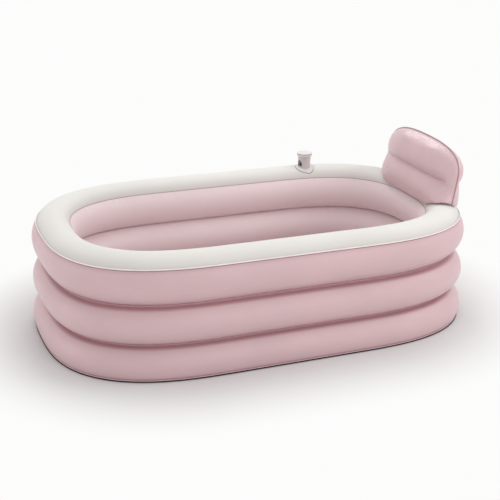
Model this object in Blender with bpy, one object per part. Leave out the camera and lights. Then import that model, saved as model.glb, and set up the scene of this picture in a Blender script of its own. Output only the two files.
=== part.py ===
# Inflatable bathtub for one adult: three stacked air rings under a pale rim cover,
# an air floor, an inflated backrest on the rim, an upright rim valve with a screw cap,
# small chamber valves with stoppers, and a drain in the floor sheet.
# Metres, +Z up. The origin is under the middle of the base, and +X points to the backrest.

import math

import bmesh
import bpy
from mathutils import Matrix, Vector

# Clearances and overruns, shared by all pieces
touch_gap = 0.0003
cut_overrun = 0.003

# Plan of the outer rim seam: straight sides between two rounded ends
half_length = 0.78
half_width = 0.453
straight_half = 0.237
corner_power = 2.73
quarter_steps = 12
straight_steps = 2

# Floor sheet and the welded edge round the foot
sheet_thickness = 0.003
sheet_inset = -0.012
lip_thickness = 0.005
lip_outer_inset = -0.0195
foot_inner_inset = 0.095

# Air rings, each given by the grooves above and below it and by how far it bulges
foot_inset = -0.019
lower_groove_inset = 0.028
lower_groove_height = 0.1185
upper_groove_inset = 0.031
upper_groove_height = 0.2582
ring_centre_inset = 0.0569
lower_ring_bulge = 0.0281
lower_ring_inner_bulge = 0.0465
middle_ring_bulge = 0.0522
upper_ring_bulge = 0.0343
ring_steps = 6

# Rim cover over the crown of the top ring, and the piping along its seams
seam_height = 0.3955
cover_width = 0.1137
crown_rise = 0.0388
cover_thickness = 0.0022
crown_steps = 8
halvings = 30
welt_height = 0.006
welt_reach = 0.0035
inner_welt_height = 0.003
inner_welt_reach = 0.0016

# Air floor with lengthwise channels; it stops short of the drain
floor_inset = 0.145
drain_bay = 0.15
floor_crest_height = 0.045
floor_valley_height = 0.022
floor_edge_height = 0.007
floor_channels = 7
channel_steps = 4
floor_end_round = 0.045

# Backrest: two panels that meet in an upright seam plane
backrest_seam_inset = 0.074
backrest_half_width = 0.257
backrest_height = 0.196
backrest_lean = math.radians(7)
backrest_groove_height = 0.076
backrest_front_foot = 0.058
backrest_front_waist = 0.040
backrest_front_lower_bulge = 0.017
backrest_front_upper_depth = 0.058
backrest_back_foot = 0.028
backrest_back_waist = 0.029
backrest_back_lower_bulge = 0.013
backrest_back_upper_depth = 0.044
backrest_front_side_round = 0.15
backrest_back_side_round = 0.045
backrest_foot_side_share = 0.36
backrest_foot_round = 0.006
backrest_foot_drop = 0.030
backrest_foot_lift = 0.0008
backrest_groove_end = 0.19
backrest_groove_fade = 0.045
backrest_upper_end_share = 0.9
backrest_upper_skew_share = 0.7
backrest_corner_power = 2.7
backrest_foot_power = 30
backrest_foot_shares = (0.03, 0.13, 0.34, 0.72, 1.9)
backrest_columns = 16
backrest_crowding_share = 0.7
backrest_welt_width = 0.004
backrest_welt_thickness = 0.003
backrest_patch_thickness = 0.0015
backrest_patch_steps = 3
backrest_hinge_inset = 0.038

# Upright rim valve
rim_valve_angle = math.radians(68.7)
rim_valve_inset = 0.068
rim_flange_length = 0.078
rim_flange_width = 0.074
rim_flange_thickness = 0.0025
rim_flange_lift = 0.0005
rim_flange_power = 3
rim_flange_hole_radius = 0.0155
stem_foot_radius = 0.024
stem_shoulder_radius = 0.0262
stem_bore_radius = 0.016
stem_port_radius = 0.0135
stem_neck_radius = 0.0215
stem_shoulder_height = 0.044
stem_neck_length = 0.0085
stem_ledge_height = 0.016
round_steps = 32

# Check disc and its spoked seat inside the stem
seat_thickness = 0.002
seat_hub_radius = 0.0045
seat_pin_radius = 0.002
seat_rim_width = 0.003
seat_sectors = 16
seat_spoke_every = 4
disc_radius = 0.0128
disc_thickness = 0.0012
disc_pin_radius = 0.0016
disc_button_radius = 0.0034
disc_button_height = 0.0018
disc_travel = 0.0025

# Screw cap and its gasket
cap_radius = 0.0292
cap_rim_width = 0.0035
cap_rim_height = 0.0016
cap_height = 0.0145
cap_roof = 0.0028
cap_edge_round = 0.0016
cap_gasket_height = 0.0018
cap_gasket_inner_radius = 0.0165

# Plug in the arched recess of the stem
port_angle = math.radians(192)
port_half_width = 0.0125
port_foot_height = 0.0035
port_arch_height = 0.030
port_depth = 0.0042
port_hole_radius = 0.0045
port_plug_nose = 0.0035
port_plug_recess = 0.0012
port_arch_steps = 10
port_grip_width = 0.003
port_grip_height = 0.011
port_grip_reach = 0.0016

# Chamber valves and stoppers
valve_flange_radius = 0.013
valve_flange_thickness = 0.0016
valve_neck_radius = 0.0085
valve_neck_height = 0.0105
valve_bore_radius = 0.0058
valve_bore_floor = 0.0028
stopper_head_radius = 0.0095
stopper_head_height = 0.0022
stopper_shank_length = 0.0062
stopper_grip_width = 0.0026
stopper_grip_height = 0.0035
valve_steps = 16
ring_valve_x = 0.105
floor_valve_back = 0.075
backrest_valve_height = 0.118

# Drain in the floor sheet
drain_inset = 0.218
drain_spigot_radius = 0.0195
drain_bore_radius = 0.0165
drain_flange_radius = 0.030
drain_flange_thickness = 0.0028
drain_seal_radius = 0.0205
drain_seal_thickness = 0.0014
drain_plug_head_radius = 0.0225
drain_plug_head_thickness = 0.0030
drain_plug_shank = 0.0045
drain_grip_length = 0.028
drain_grip_width = 0.004
drain_grip_height = 0.012

# Colours as seen, red green blue
pink_vinyl = (0.78, 0.55, 0.60)
pale_vinyl = (0.78, 0.76, 0.73)
clear_vinyl = (0.80, 0.78, 0.77)
mauve_seam = (0.45, 0.30, 0.33)
white_plastic = (0.80, 0.77, 0.75)
grey_plastic = (0.55, 0.51, 0.50)
dark_rubber = (0.06, 0.05, 0.05)
satin = 0.4
matte = 0.75


# Shared tools

def clear_scene():
    for old in list(bpy.data.objects):
        bpy.data.objects.remove(old, do_unlink=True)


def paint(obj, colour, roughness):
    material = bpy.data.materials.new(obj.name)
    material.use_nodes = True
    shader = material.node_tree.nodes["Principled BSDF"]
    shader.inputs["Base Color"].default_value = (*colour, 1)
    shader.inputs["Roughness"].default_value = roughness
    shader.inputs["Metallic"].default_value = 0
    obj.data.materials.append(material)


def finish(name, mesh_maker, colour, roughness, crease=math.radians(40)):
    bmesh.ops.recalc_face_normals(mesh_maker, faces=mesh_maker.faces)
    mesh = bpy.data.meshes.new(name)
    mesh_maker.to_mesh(mesh)
    mesh_maker.free()
    mesh.shade_smooth()
    mesh.set_sharp_from_angle(angle=crease)
    obj = bpy.data.objects.new(name, mesh)
    bpy.context.collection.objects.link(obj)
    paint(obj, colour, roughness)
    return obj


def cut(target, cutter, operation="DIFFERENCE"):
    cutter.hide_render = True
    cutter.display_type = "WIRE"
    boolean = target.modifiers.new(cutter.name, "BOOLEAN")
    boolean.operation = operation
    boolean.object = cutter
    boolean.solver = "EXACT"


def arc(start, end, bulge, steps):
    # Points from start to end on an arc that bulges to the left of the way there
    chord = Vector(end) - Vector(start)
    span = chord.length
    along = chord / span
    side = Vector((-along.y, along.x)) * math.copysign(1, bulge)
    rise = abs(bulge)
    radius = (span * span / 4 + rise * rise) / (2 * rise)
    half_angle = 2 * math.atan(2 * rise / span)
    centre = (Vector(start) + Vector(end)) / 2 + side * (rise - radius)
    points = []
    for i in range(steps + 1):
        angle = -half_angle + 2 * half_angle * i / steps
        points.append(tuple(centre + radius * (math.sin(angle) * along + math.cos(angle) * side)))
    return points


def along_line(points, first, value):
    # The other coordinate of a polyline where its coordinate number first has this value
    other = 1 - first
    for a, b in zip(points, points[1:]):
        low, high = sorted((a[first], b[first]))
        if low <= value <= high and high > low:
            share = (value - a[first]) / (b[first] - a[first])
            return a[other] + share * (b[other] - a[other])
    raise ValueError("the line doesn't reach this value")


def join_rows(maker, rows, closed_rows, closed_columns):
    # Quads between neighbouring rows of vertices
    row_count = len(rows) if closed_rows else len(rows) - 1
    column_count = len(rows[0]) if closed_columns else len(rows[0]) - 1
    for i in range(row_count):
        near, far = rows[i], rows[(i + 1) % len(rows)]
        for j in range(column_count):
            k = (j + 1) % len(near)
            maker.faces.new((near[j], near[k], far[k], far[j]))


def turned(profile, steps, placing=Matrix.Identity(4), foot_drop=None):
    # A solid of revolution about its own Z. A profile end on the axis closes in a point
    maker = bmesh.new()
    rows = []
    for radius, height in profile:
        if radius == 0:
            rows.append([maker.verts.new((0, 0, height))])
            continue
        ring = []
        for i in range(steps):
            angle = 2 * math.pi * i / steps
            ring.append(maker.verts.new((radius * math.cos(angle), radius * math.sin(angle), height)))
        rows.append(ring)
    closed = profile[0][0] != 0
    for a, b in zip(rows, rows[1:] + rows[:1] if closed else rows[1:]):
        for i in range(steps):
            j = (i + 1) % steps
            corners = [a[i % len(a)], a[j % len(a)], b[j % len(b)], b[i % len(b)]]
            maker.faces.new(list(dict.fromkeys(corners)))
    if foot_drop is not None:
        for vertex in maker.verts:
            if vertex.co.z == 0:
                vertex.co.z = foot_drop(vertex.co.x, vertex.co.y)
    bmesh.ops.transform(maker, matrix=placing, verts=maker.verts)
    return maker


def slab(outline, low, high, placing=Matrix.Identity(4)):
    # A flat outline given thickness along its own Z
    maker = bmesh.new()
    foot = [maker.verts.new((x, y, low)) for x, y in outline]
    top = [maker.verts.new((x, y, high)) for x, y in outline]
    join_rows(maker, [foot, top], False, True)
    maker.faces.new(foot)
    maker.faces.new(top)
    bmesh.ops.transform(maker, matrix=placing, verts=maker.verts)
    return maker


def box_outline(half_x, half_y):
    return [(-half_x, -half_y), (half_x, -half_y), (half_x, half_y), (-half_x, half_y)]


def facing(point, outward, upward=Vector((0, 0, 1))):
    # A placing whose local Z points outward from a seat
    z_axis = Vector(outward).normalized()
    x_axis = Vector(upward).cross(z_axis)
    x_axis = x_axis.normalized() if x_axis.length > 0 else Vector((1, 0, 0))
    y_axis = z_axis.cross(x_axis)
    turn = Matrix((x_axis, y_axis, z_axis)).transposed().to_4x4()
    return Matrix.Translation(point) @ turn


# Plan of the tub: every ring, cover and weld is swept round the same stations

def plan_stations():
    # Each station is the centre of its bend and the direction seen from there.
    # One station is moved under the rim valve, whose plate then straddles its ridge line
    stations = []
    turns = 2 * quarter_steps
    for end in (1, -1):
        for i in range(turns + 1):
            direction = math.pi * (i / turns - end / 2)
            if abs(direction - rim_valve_angle) < math.pi / turns / 2:
                direction = rim_valve_angle
            stations.append((end * straight_half, direction))
        for i in range(1, straight_steps):
            centre = end * straight_half * (1 - 2 * i / straight_steps)
            stations.append((centre, end * math.pi / 2))
    return stations


def end_radius(direction, inset):
    length = half_length - straight_half - inset
    width = half_width - inset
    power = corner_power
    across = (abs(math.cos(direction)) / length) ** power + (abs(math.sin(direction)) / width) ** power
    return across ** (-1 / power)


def plan_point(station, inset):
    centre, direction = station
    reach = end_radius(direction, inset)
    return (centre + reach * math.cos(direction), reach * math.sin(direction))


def swept(section, stations=None):
    # A section of inset and height points, swept round the tub or along some stations
    maker = bmesh.new()
    whole = stations is None
    rows = []
    for station in plan_stations() if whole else stations:
        row = [maker.verts.new((*plan_point(station, inset), height)) for inset, height in section]
        rows.append(row)
    join_rows(maker, rows, whole, True)
    if not whole:
        maker.faces.new(rows[0])
        maker.faces.new(rows[-1])
    return maker


def crown_points(offset, longer=0):
    # The rim's crown, moved outwards by offset, with each end made longer
    radius = (cover_width * cover_width / 4 + crown_rise * crown_rise) / (2 * crown_rise)
    half_angle = 2 * math.atan(2 * crown_rise / cover_width) + longer / radius
    centre_height = seam_height + crown_rise - radius
    points = []
    for i in range(crown_steps + 1):
        angle = -half_angle + 2 * half_angle * i / crown_steps
        reach = radius + offset
        points.append((cover_width / 2 + reach * math.sin(angle), centre_height + reach * math.cos(angle)))
    return points


def rim_crest():
    return seam_height + crown_rise


def crown_height(inset):
    radius = (cover_width * cover_width / 4 + crown_rise * crown_rise) / (2 * crown_rise)
    across = inset - cover_width / 2
    return rim_crest() - radius + math.sqrt(radius * radius - across * across)


def crown_level(x, y):
    # Height of the crown at a place on the rounded end under the backrest
    spot = Vector((x, y))
    stations = plan_stations()[:2 * quarter_steps + 1]
    turn = math.atan2(spot.y, spot.x - straight_half)
    first = max(i for i in range(2 * quarter_steps) if stations[i][1] <= turn)
    low, high = 0, cover_width
    for _ in range(halvings):
        inset = (low + high) / 2
        a = Vector(plan_point(stations[first], inset))
        b = Vector(plan_point(stations[first + 1], inset))
        if (b - a).cross(spot - a) > 0:
            low = inset
        else:
            high = inset
    return crown_height(inset)


def mirrored(points):
    # The inboard side of a ring's section, from its outboard side
    return [(2 * ring_centre_inset - inset, height) for inset, height in reversed(points)]


def lower_ring_side():
    foot = sheet_thickness + lip_thickness + 2 * touch_gap
    return arc((foot_inset, foot), (lower_groove_inset, lower_groove_height), lower_ring_bulge, ring_steps)


def middle_ring_side():
    start = (lower_groove_inset, lower_groove_height + touch_gap)
    return arc(start, (upper_groove_inset, upper_groove_height), middle_ring_bulge, ring_steps)


def upper_ring_side():
    start = (upper_groove_inset, upper_groove_height + touch_gap)
    return arc(start, (0, seam_height - touch_gap), upper_ring_bulge, ring_steps)


# Wall, rim and floor

def make_base_sheet():
    outline = [plan_point(station, sheet_inset) for station in plan_stations()]
    sheet = finish("base_sheet", slab(outline, 0, sheet_thickness), pink_vinyl, satin)
    hole_radius = drain_spigot_radius + touch_gap
    placing = drain_placing()
    low, high = -cut_overrun, sheet_thickness + cut_overrun
    profile = [(0, low), (hole_radius, low), (hole_radius, high), (0, high)]
    cutter = finish("drain_hole_cutter", turned(profile, round_steps, placing), pink_vinyl, satin)
    cut(sheet, cutter)


def make_base_weld_lip():
    low = sheet_thickness + touch_gap
    high = low + lip_thickness
    edge = (low + high) / 2
    section = [(lip_outer_inset, edge), (foot_inset, high), (foot_inner_inset, high),
               (foot_inner_inset, low), (sheet_inset, low)]
    finish("base_weld_lip", swept(section), pale_vinyl, satin)


def make_lower_ring():
    outer = lower_ring_side()
    top_inset = 2 * ring_centre_inset - lower_groove_inset
    inner_top, inner_foot = (top_inset, outer[-1][1]), (foot_inner_inset, outer[0][1])
    inner = arc(inner_top, inner_foot, lower_ring_inner_bulge, ring_steps)
    finish("lower_ring", swept(outer + inner), pink_vinyl, satin)


def make_middle_ring():
    outer = middle_ring_side()
    finish("middle_ring", swept(outer + mirrored(outer)), pink_vinyl, satin)


def make_upper_ring():
    outer = upper_ring_side()
    crown = crown_points(-cover_thickness - touch_gap, touch_gap)
    finish("upper_ring", swept(outer + crown + mirrored(outer)), pink_vinyl, satin)


def make_rim_cover():
    section = crown_points(0) + list(reversed(crown_points(-cover_thickness)))
    cover = finish("rim_cover", swept(section), pale_vinyl, matte)
    cut(cover, rim_valve_hole())


def make_welt(name, height, reach, inner):
    # A bead that lies over the seam, clear of the wall below it and the cover above it
    wall = upper_ring_side()
    below = along_line(wall, 1, seam_height - height / 2) - touch_gap
    above = along_line(crown_points(0)[:2], 1, seam_height + height / 2) - touch_gap
    at_seam = min(-touch_gap, (below + above) / 2)
    low, high = seam_height - height / 2, seam_height + height / 2
    section = [(below, low), (at_seam, seam_height), (above, high)]
    section += [(above - reach, high), (below - reach, low)]
    if inner:
        section = [(cover_width - inset, level) for inset, level in section]
    finish(name, swept(section), mauve_seam if inner else pale_vinyl, satin)


def floor_half_width():
    return half_width - floor_inset


def floor_height(y):
    # Height of the channels' upper side at this place across the floor
    place = (y / floor_half_width() + 1) / 2 * floor_channels
    channel = min(int(place), floor_channels - 1)
    share = place - channel
    left = floor_edge_height if channel == 0 else floor_valley_height
    right = floor_edge_height if channel == floor_channels - 1 else floor_valley_height
    valley = left + (right - left) * share
    return valley + (floor_crest_height - valley) * (1 - (2 * share - 1) ** 2)


def make_floor_cushion():
    maker = bmesh.new()
    width = floor_half_width()
    length = half_length - straight_half - floor_inset
    end_shares = (1, 0.93, 0.7, 0.35, 0)
    round_shares = [math.sqrt(1 - share * share) for share in end_shares]
    low = sheet_thickness + touch_gap
    rows, feet = [], []
    for j in range(floor_channels * channel_steps + 1):
        y = width * (2 * j / (floor_channels * channel_steps) - 1)
        bend = length * max(0, 1 - abs(y / width) ** corner_power) ** (1 / corner_power)
        right, left = straight_half + bend, -(straight_half - drain_bay + bend)
        lift = floor_height(y) - floor_edge_height
        ends = [(share, fall) for share, fall in zip(end_shares, round_shares)]
        stops = [(left + floor_end_round * (1 - share), fall) for share, fall in ends]
        stops += [(right - floor_end_round * (1 - share), fall) for share, fall in reversed(ends)]
        rows.append([maker.verts.new((x, y, low + floor_edge_height + lift * fall)) for x, fall in stops])
        feet.append([maker.verts.new((left, y, low)), maker.verts.new((right, y, low))])
    join_rows(maker, rows, False, False)
    for j in range(len(rows) - 1):
        for side, top in ((0, 0), (1, -1)):
            maker.faces.new((feet[j][side], feet[j + 1][side], rows[j + 1][top], rows[j][top]))
    for row, foot in ((rows[0], feet[0]), (rows[-1], feet[-1])):
        maker.faces.new(row + [foot[1], foot[0]])
    maker.faces.new([foot[0] for foot in feet] + [foot[1] for foot in reversed(feet)])
    finish("floor_cushion", maker, pink_vinyl, satin)


# Backrest

def backrest_foot():
    return rim_crest() + 2 * touch_gap + backrest_patch_thickness + backrest_foot_lift


def backrest_edge(direction):
    # Distance from the middle of the backrest to its outline in this direction
    power = backrest_corner_power if math.sin(direction) > 0 else backrest_foot_power
    half_height = backrest_height / 2
    across = (abs(math.cos(direction)) / backrest_half_width) ** power
    return (across + (abs(math.sin(direction)) / half_height) ** power) ** (-1 / power)


def backrest_place(column, row):
    # A square grid place, -1 to 1 each way, laid over the outline: y, height and edge distance.
    # In the lower half only the sides count as an edge, so the foot stays deep up to them
    half_height = backrest_height / 2
    reach = max(abs(column), abs(row))
    if reach == 0:
        return 0, half_height, backrest_half_width
    direction = math.atan2(row * half_height, column * backrest_half_width)
    edge = backrest_edge(direction)
    y = reach * edge * math.cos(direction)
    height = half_height + reach * edge * math.sin(direction)
    if row < 0:
        return y, height, (1 - abs(column)) * backrest_half_width
    return y, height, (1 - reach) * edge


def rounding(distance, radius):
    inside = min(distance / radius, 1)
    return math.sqrt(max(0, 1 - (1 - inside) ** 2))


def eased(share):
    # Rises softly from 0 to 1
    return (1 - math.cos(math.pi * min(max(share, 0), 1))) / 2


def backrest_depth(y, height, edge, foot, waist, lower_bulge, upper_depth, side_round):
    # How far a panel stands off the seam plane: a lower and an upper lobe with a channel between,
    # which fades out before the near side
    groove = backrest_groove_height
    if height < groove:
        lobe = foot + (waist - foot) * height / groove
        lobe += lower_bulge * math.sin(math.pi * height / groove)
    else:
        share = (height - groove) / (backrest_height - groove)
        turn = min(share / backrest_upper_end_share, 1) ** backrest_upper_skew_share
        lobe = waist + (upper_depth - waist) * math.sin(math.pi * turn)
    without = ((foot + waist) / 2 + lower_bulge + upper_depth) / 2
    fade = eased((-backrest_groove_end - y) / backrest_groove_fade)
    near_groove = eased(1 - 2 * abs(height - groove) / groove)
    lobe += (without - lobe) * fade * near_groove
    side_share = backrest_foot_side_share + (1 - backrest_foot_side_share) * eased(height / groove)
    return lobe * rounding(edge, side_round * side_share) * rounding(height, backrest_foot_round)


def backrest_rows():
    # Row places, close together at the foot and at the channel between the lobes
    half_height = backrest_height / 2
    groove = backrest_groove_height / half_height - 1
    shares = [-1]
    shares += [share * backrest_foot_round / half_height - 1 for share in backrest_foot_shares]
    shares += [groove + (groove + 1) * share for share in (-0.55, -0.28, -0.1, 0, 0.1, 0.28)]
    return shares + [0, 0.25, 0.5, 0.72, 0.88, 0.97, 1]


def backrest_columns_across():
    # Column places, closer together towards the sides
    places = []
    for i in range(backrest_columns + 1):
        even = 2 * i / backrest_columns - 1
        places.append(even + (math.sin(math.pi / 2 * even) - even) * backrest_crowding_share)
    return places


def backrest_point(y, height, depth):
    # Depth counts towards the bather, in front of the leaning seam plane.
    # The foot is bent down over the crown of the rim, less and less up to the channel
    seam_x = half_length - backrest_seam_inset
    below = crown_level(seam_x + height * math.tan(backrest_lean) - depth, y)
    drop = min(rim_crest() - below, backrest_foot_drop)
    level = height - drop * eased(1 - height / backrest_groove_height)
    return (seam_x + level * math.tan(backrest_lean) - depth, y, backrest_foot() + level)


def backrest_panel(name, side, *form):
    maker = bmesh.new()
    rows = []
    for row in backrest_rows():
        line = []
        for column in backrest_columns_across():
            y, height, edge = backrest_place(column, row)
            depth = backrest_depth(y, height, edge, *form)
            line.append(maker.verts.new(backrest_point(y, height, side * (depth + touch_gap / 2))))
        rows.append(line)
    join_rows(maker, rows, False, False)
    rim = [vertex for vertex in rows[0]]
    rim += [line[-1] for line in rows[1:]]
    rim += [vertex for vertex in reversed(rows[-1][:-1])]
    rim += [line[0] for line in reversed(rows[1:-1])]
    maker.faces.new(rim)
    finish(name, maker, pink_vinyl, satin)


def backrest_rim():
    # Places round the sides and the top, where both panels end
    rows = backrest_rows()
    columns = backrest_columns_across()
    places = [(1, row) for row in rows] + [(column, 1) for column in reversed(columns[:-1])]
    places += [(-1, row) for row in reversed(rows[:-1])]
    return [Vector(backrest_place(*place)[:2]) for place in places]


def moved_out(line, distance):
    # An open line moved to its right, with its corners kept
    moved = []
    for i, point in enumerate(line):
        before = line[max(i - 1, 0)]
        after = line[min(i + 1, len(line) - 1)]
        first = (point - before).normalized() if i > 0 else (after - point).normalized()
        second = (after - point).normalized() if i < len(line) - 1 else first
        middle = (Vector((first.y, -first.x)) + Vector((second.y, -second.x))).normalized()
        moved.append(point + middle * distance / middle.dot(Vector((first.y, -first.x))))
    return moved


def make_backrest_welt():
    # The welded edge stands out round the sides and the top, and is open at the foot
    maker = bmesh.new()
    near = moved_out(backrest_rim(), touch_gap)
    far = moved_out(backrest_rim(), touch_gap + backrest_welt_width)
    half = backrest_welt_thickness / 2
    rows = []
    for inner, outer in zip(near, far):
        row = []
        for spot, depth in ((inner, half), (outer, half), (outer, -half), (inner, -half)):
            row.append(maker.verts.new(backrest_point(spot.x, max(spot.y, 0), depth)))
        rows.append(row)
    join_rows(maker, rows, False, True)
    maker.faces.new(rows[0])
    maker.faces.new(rows[-1])
    finish("backrest_welt", maker, mauve_seam, satin)


def make_backrest_base_strip():
    # A flexible patch that lies on the rim under the backrest and carries it
    stations = plan_stations()
    middle = quarter_steps
    under = stations[middle - backrest_patch_steps:middle + backrest_patch_steps + 1]
    low = crown_points(touch_gap)[2:-3]
    high = crown_points(touch_gap + backrest_patch_thickness)[2:-3]
    finish("backrest_base_strip", swept(low + list(reversed(high)), under), pale_vinyl, satin)


# Upright rim valve

def rim_valve_station():
    return (straight_half, rim_valve_angle)


def rim_valve_placing():
    # Local X runs along the rim, local Y across it, and the origin is on the crown
    x, y = plan_point(rim_valve_station(), rim_valve_inset)
    turn = Matrix.Rotation(rim_valve_angle - math.pi / 2, 4, "Z")
    return Matrix.Translation((x, y, crown_height(rim_valve_inset))) @ turn


def crown_drop(x, y):
    # How far the crown lies below the valve's seat at a place beside it
    spot = rim_valve_placing() @ Vector((x, y, 0))
    return crown_height(rim_valve_inset) - crown_level(spot.x, spot.y)


def rim_valve_hole():
    placing = rim_valve_placing()
    low, high = -crown_rise, crown_rise
    radius = rim_flange_hole_radius
    profile = [(0, low), (radius, low), (radius, high), (0, high)]
    return finish("rim_valve_hole_cutter", turned(profile, round_steps, placing), pale_vinyl, satin)


def make_valve_flange():
    # An oval plate that is bent over the crown of the rim, with the port in its middle
    maker = bmesh.new()
    placing = rim_valve_placing()
    half_x, half_y = rim_flange_length / 2, rim_flange_width / 2
    shares = (0, 0.3, 0.65, 1)
    lower, upper = [], []
    for share in shares:
        low_row, high_row = [], []
        for i in range(round_steps):
            angle = 2 * math.pi * i / round_steps
            power = rim_flange_power
            edge = (abs(math.cos(angle)) / half_x) ** power + (abs(math.sin(angle)) / half_y) ** power
            reach = rim_flange_hole_radius + share * (edge ** (-1 / power) - rim_flange_hole_radius)
            x, y = reach * math.cos(angle), reach * math.sin(angle)
            foot = rim_flange_lift - crown_drop(x, y)
            low_row.append(maker.verts.new(placing @ Vector((x, y, foot))))
            high_row.append(maker.verts.new(placing @ Vector((x, y, foot + rim_flange_thickness))))
        lower.append(low_row)
        upper.append(high_row)
    join_rows(maker, upper + list(reversed(lower)), True, True)
    finish("valve_flange", maker, pale_vinyl, satin)


def stem_foot(x, y):
    return rim_flange_lift + rim_flange_thickness + touch_gap - crown_drop(x, y)


def stem_top():
    return stem_shoulder_height + stem_neck_length


def port_outline(clearance):
    # An arch: straight sides and a round head
    half = port_half_width - clearance
    foot = port_foot_height + clearance
    spring = port_arch_height - port_half_width
    outline = [(-half, foot), (half, foot)]
    for i in range(port_arch_steps + 1):
        angle = math.pi * i / port_arch_steps
        outline.append((half * math.cos(angle), spring + half * math.sin(angle)))
    return outline


def port_placing():
    # Local Z points outwards from the stem's axis, local Y up
    outward = Vector((math.cos(port_angle), math.sin(port_angle), 0))
    origin = rim_valve_placing().translation
    return facing(origin, outward)


def port_floor():
    # Distance from the stem's axis to the flat back of the recess
    return stem_foot_radius - port_depth


def port_hole_height():
    return (port_foot_height + port_arch_height) / 2


def make_valve_stem():
    profile = [
        (stem_foot_radius, 0),
        (stem_shoulder_radius, stem_shoulder_height),
        (stem_neck_radius, stem_shoulder_height),
        (stem_neck_radius, stem_top()),
        (stem_bore_radius, stem_top()),
        (stem_bore_radius, stem_ledge_height),
        (stem_port_radius, stem_ledge_height),
        (stem_port_radius, 0),
    ]
    tube = turned(profile, round_steps, rim_valve_placing(), stem_foot)
    stem = finish("valve_stem", tube, white_plastic, satin)
    placing = port_placing()
    far = stem_shoulder_radius + cut_overrun
    arch = slab(port_outline(0), port_floor(), far, placing)
    cut(stem, finish("port_arch_cutter", arch, white_plastic, satin))
    bore = placing @ Matrix.Translation((0, port_hole_height(), 0))
    profile = [(0, 0), (port_hole_radius, 0), (port_hole_radius, far), (0, far)]
    cut(stem, finish("port_hole_cutter", turned(profile, valve_steps, bore), white_plastic, satin))


def make_valve_side_plug():
    placing = port_placing()
    back = port_floor() + touch_gap
    front = stem_foot_radius - port_plug_recess
    plug = finish("valve_side_plug", slab(port_outline(touch_gap), back, front, placing), dark_rubber, matte)
    at_hole = placing @ Matrix.Translation((0, port_hole_height(), 0))
    nose_radius = port_hole_radius - touch_gap
    buried = (back + front) / 2
    tip = back - port_plug_nose
    profile = [(0, tip), (nose_radius, tip), (nose_radius, buried), (0, buried)]
    nose = finish("plug_nose_piece", turned(profile, valve_steps, at_hole), dark_rubber, matte)
    cut(plug, nose, "UNION")
    outline = box_outline(port_grip_width / 2, port_grip_height / 2)
    grip = slab(outline, buried, front + port_grip_reach, at_hole)
    cut(plug, finish("plug_grip_piece", grip, dark_rubber, matte), "UNION")


def plate_of_cells(radii, filled, low, high, sectors, placing):
    # A flat plate made of cells of a polar grid, with walls wherever a filled cell meets an empty one
    maker = bmesh.new()
    verts = {}

    def vertex(ring, sector, level):
        key = (ring, sector % sectors, level)
        if key not in verts:
            angle = 2 * math.pi * (sector % sectors) / sectors
            spot = Vector((radii[ring] * math.cos(angle), radii[ring] * math.sin(angle), (low, high)[level]))
            verts[key] = maker.verts.new(placing @ spot)
        return verts[key]

    bands = len(radii) - 1
    for ring in range(bands):
        for sector in range(sectors):
            if not filled(ring, sector):
                continue
            for level in (0, 1):
                maker.faces.new((vertex(ring, sector, level), vertex(ring + 1, sector, level),
                                 vertex(ring + 1, sector + 1, level), vertex(ring, sector + 1, level)))
            walls = []
            if ring == 0 or not filled(ring - 1, sector):
                walls.append(((ring, sector), (ring, sector + 1)))
            if ring == bands - 1 or not filled(ring + 1, sector):
                walls.append(((ring + 1, sector), (ring + 1, sector + 1)))
            if not filled(ring, (sector - 1) % sectors):
                walls.append(((ring, sector), (ring + 1, sector)))
            if not filled(ring, (sector + 1) % sectors):
                walls.append(((ring, sector + 1), (ring + 1, sector + 1)))
            for a, b in walls:
                maker.faces.new((vertex(*a, 0), vertex(*b, 0), vertex(*b, 1), vertex(*a, 1)))
    return maker


def make_valve_seat():
    outer = stem_bore_radius - touch_gap
    radii = (seat_pin_radius, seat_hub_radius, outer - seat_rim_width, outer)
    low = stem_ledge_height + touch_gap

    def filled(ring, sector):
        return ring != 1 or sector % seat_spoke_every == 0

    maker = plate_of_cells(radii, filled, low, low + seat_thickness, seat_sectors, rim_valve_placing())
    finish("valve_seat", maker, grey_plastic, satin)


def make_valve_diaphragm():
    # The disc hangs under the spokes on a pin whose button rests above the hub when it opens
    seat_low = stem_ledge_height + touch_gap
    disc_top = seat_low - touch_gap
    button_low = seat_low + seat_thickness + disc_travel + touch_gap
    button_top = button_low + disc_button_height
    profile = [
        (0, disc_top - disc_thickness),
        (disc_radius, disc_top - disc_thickness),
        (disc_radius, disc_top),
        (disc_pin_radius, disc_top),
        (disc_pin_radius, button_low),
        (disc_button_radius, button_low),
        (disc_pin_radius, button_top),
        (0, button_top),
    ]
    finish("valve_diaphragm", turned(profile, seat_sectors, rim_valve_placing()), dark_rubber, matte)


def make_valve_cap():
    foot = stem_shoulder_height + touch_gap
    top = foot + cap_height
    thread_radius = stem_neck_radius + touch_gap
    roof = stem_top() + 2 * touch_gap + cap_gasket_height
    profile = [
        (0, top - cap_rim_height),
        (cap_radius - cap_rim_width - cap_rim_height, top - cap_rim_height),
        (cap_radius - cap_rim_width, top),
        (cap_radius - cap_edge_round, top),
        (cap_radius, top - cap_edge_round),
        (cap_radius, top - cap_roof - cap_rim_height),
        (cap_radius - cap_edge_round, top - cap_roof - cap_rim_height - cap_edge_round),
        (cap_radius - cap_edge_round, foot),
        (thread_radius, foot),
        (thread_radius, roof),
        (0, roof),
    ]
    finish("valve_cap", turned(profile, round_steps, rim_valve_placing()), white_plastic, satin)


def make_valve_cap_seal():
    low = stem_top() + touch_gap
    high = low + cap_gasket_height - touch_gap
    profile = [(cap_gasket_inner_radius, low), (stem_neck_radius, low),
               (stem_neck_radius, high), (cap_gasket_inner_radius, high)]
    finish("valve_cap_seal", turned(profile, round_steps, rim_valve_placing()), dark_rubber, matte)


# Chamber valves

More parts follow.
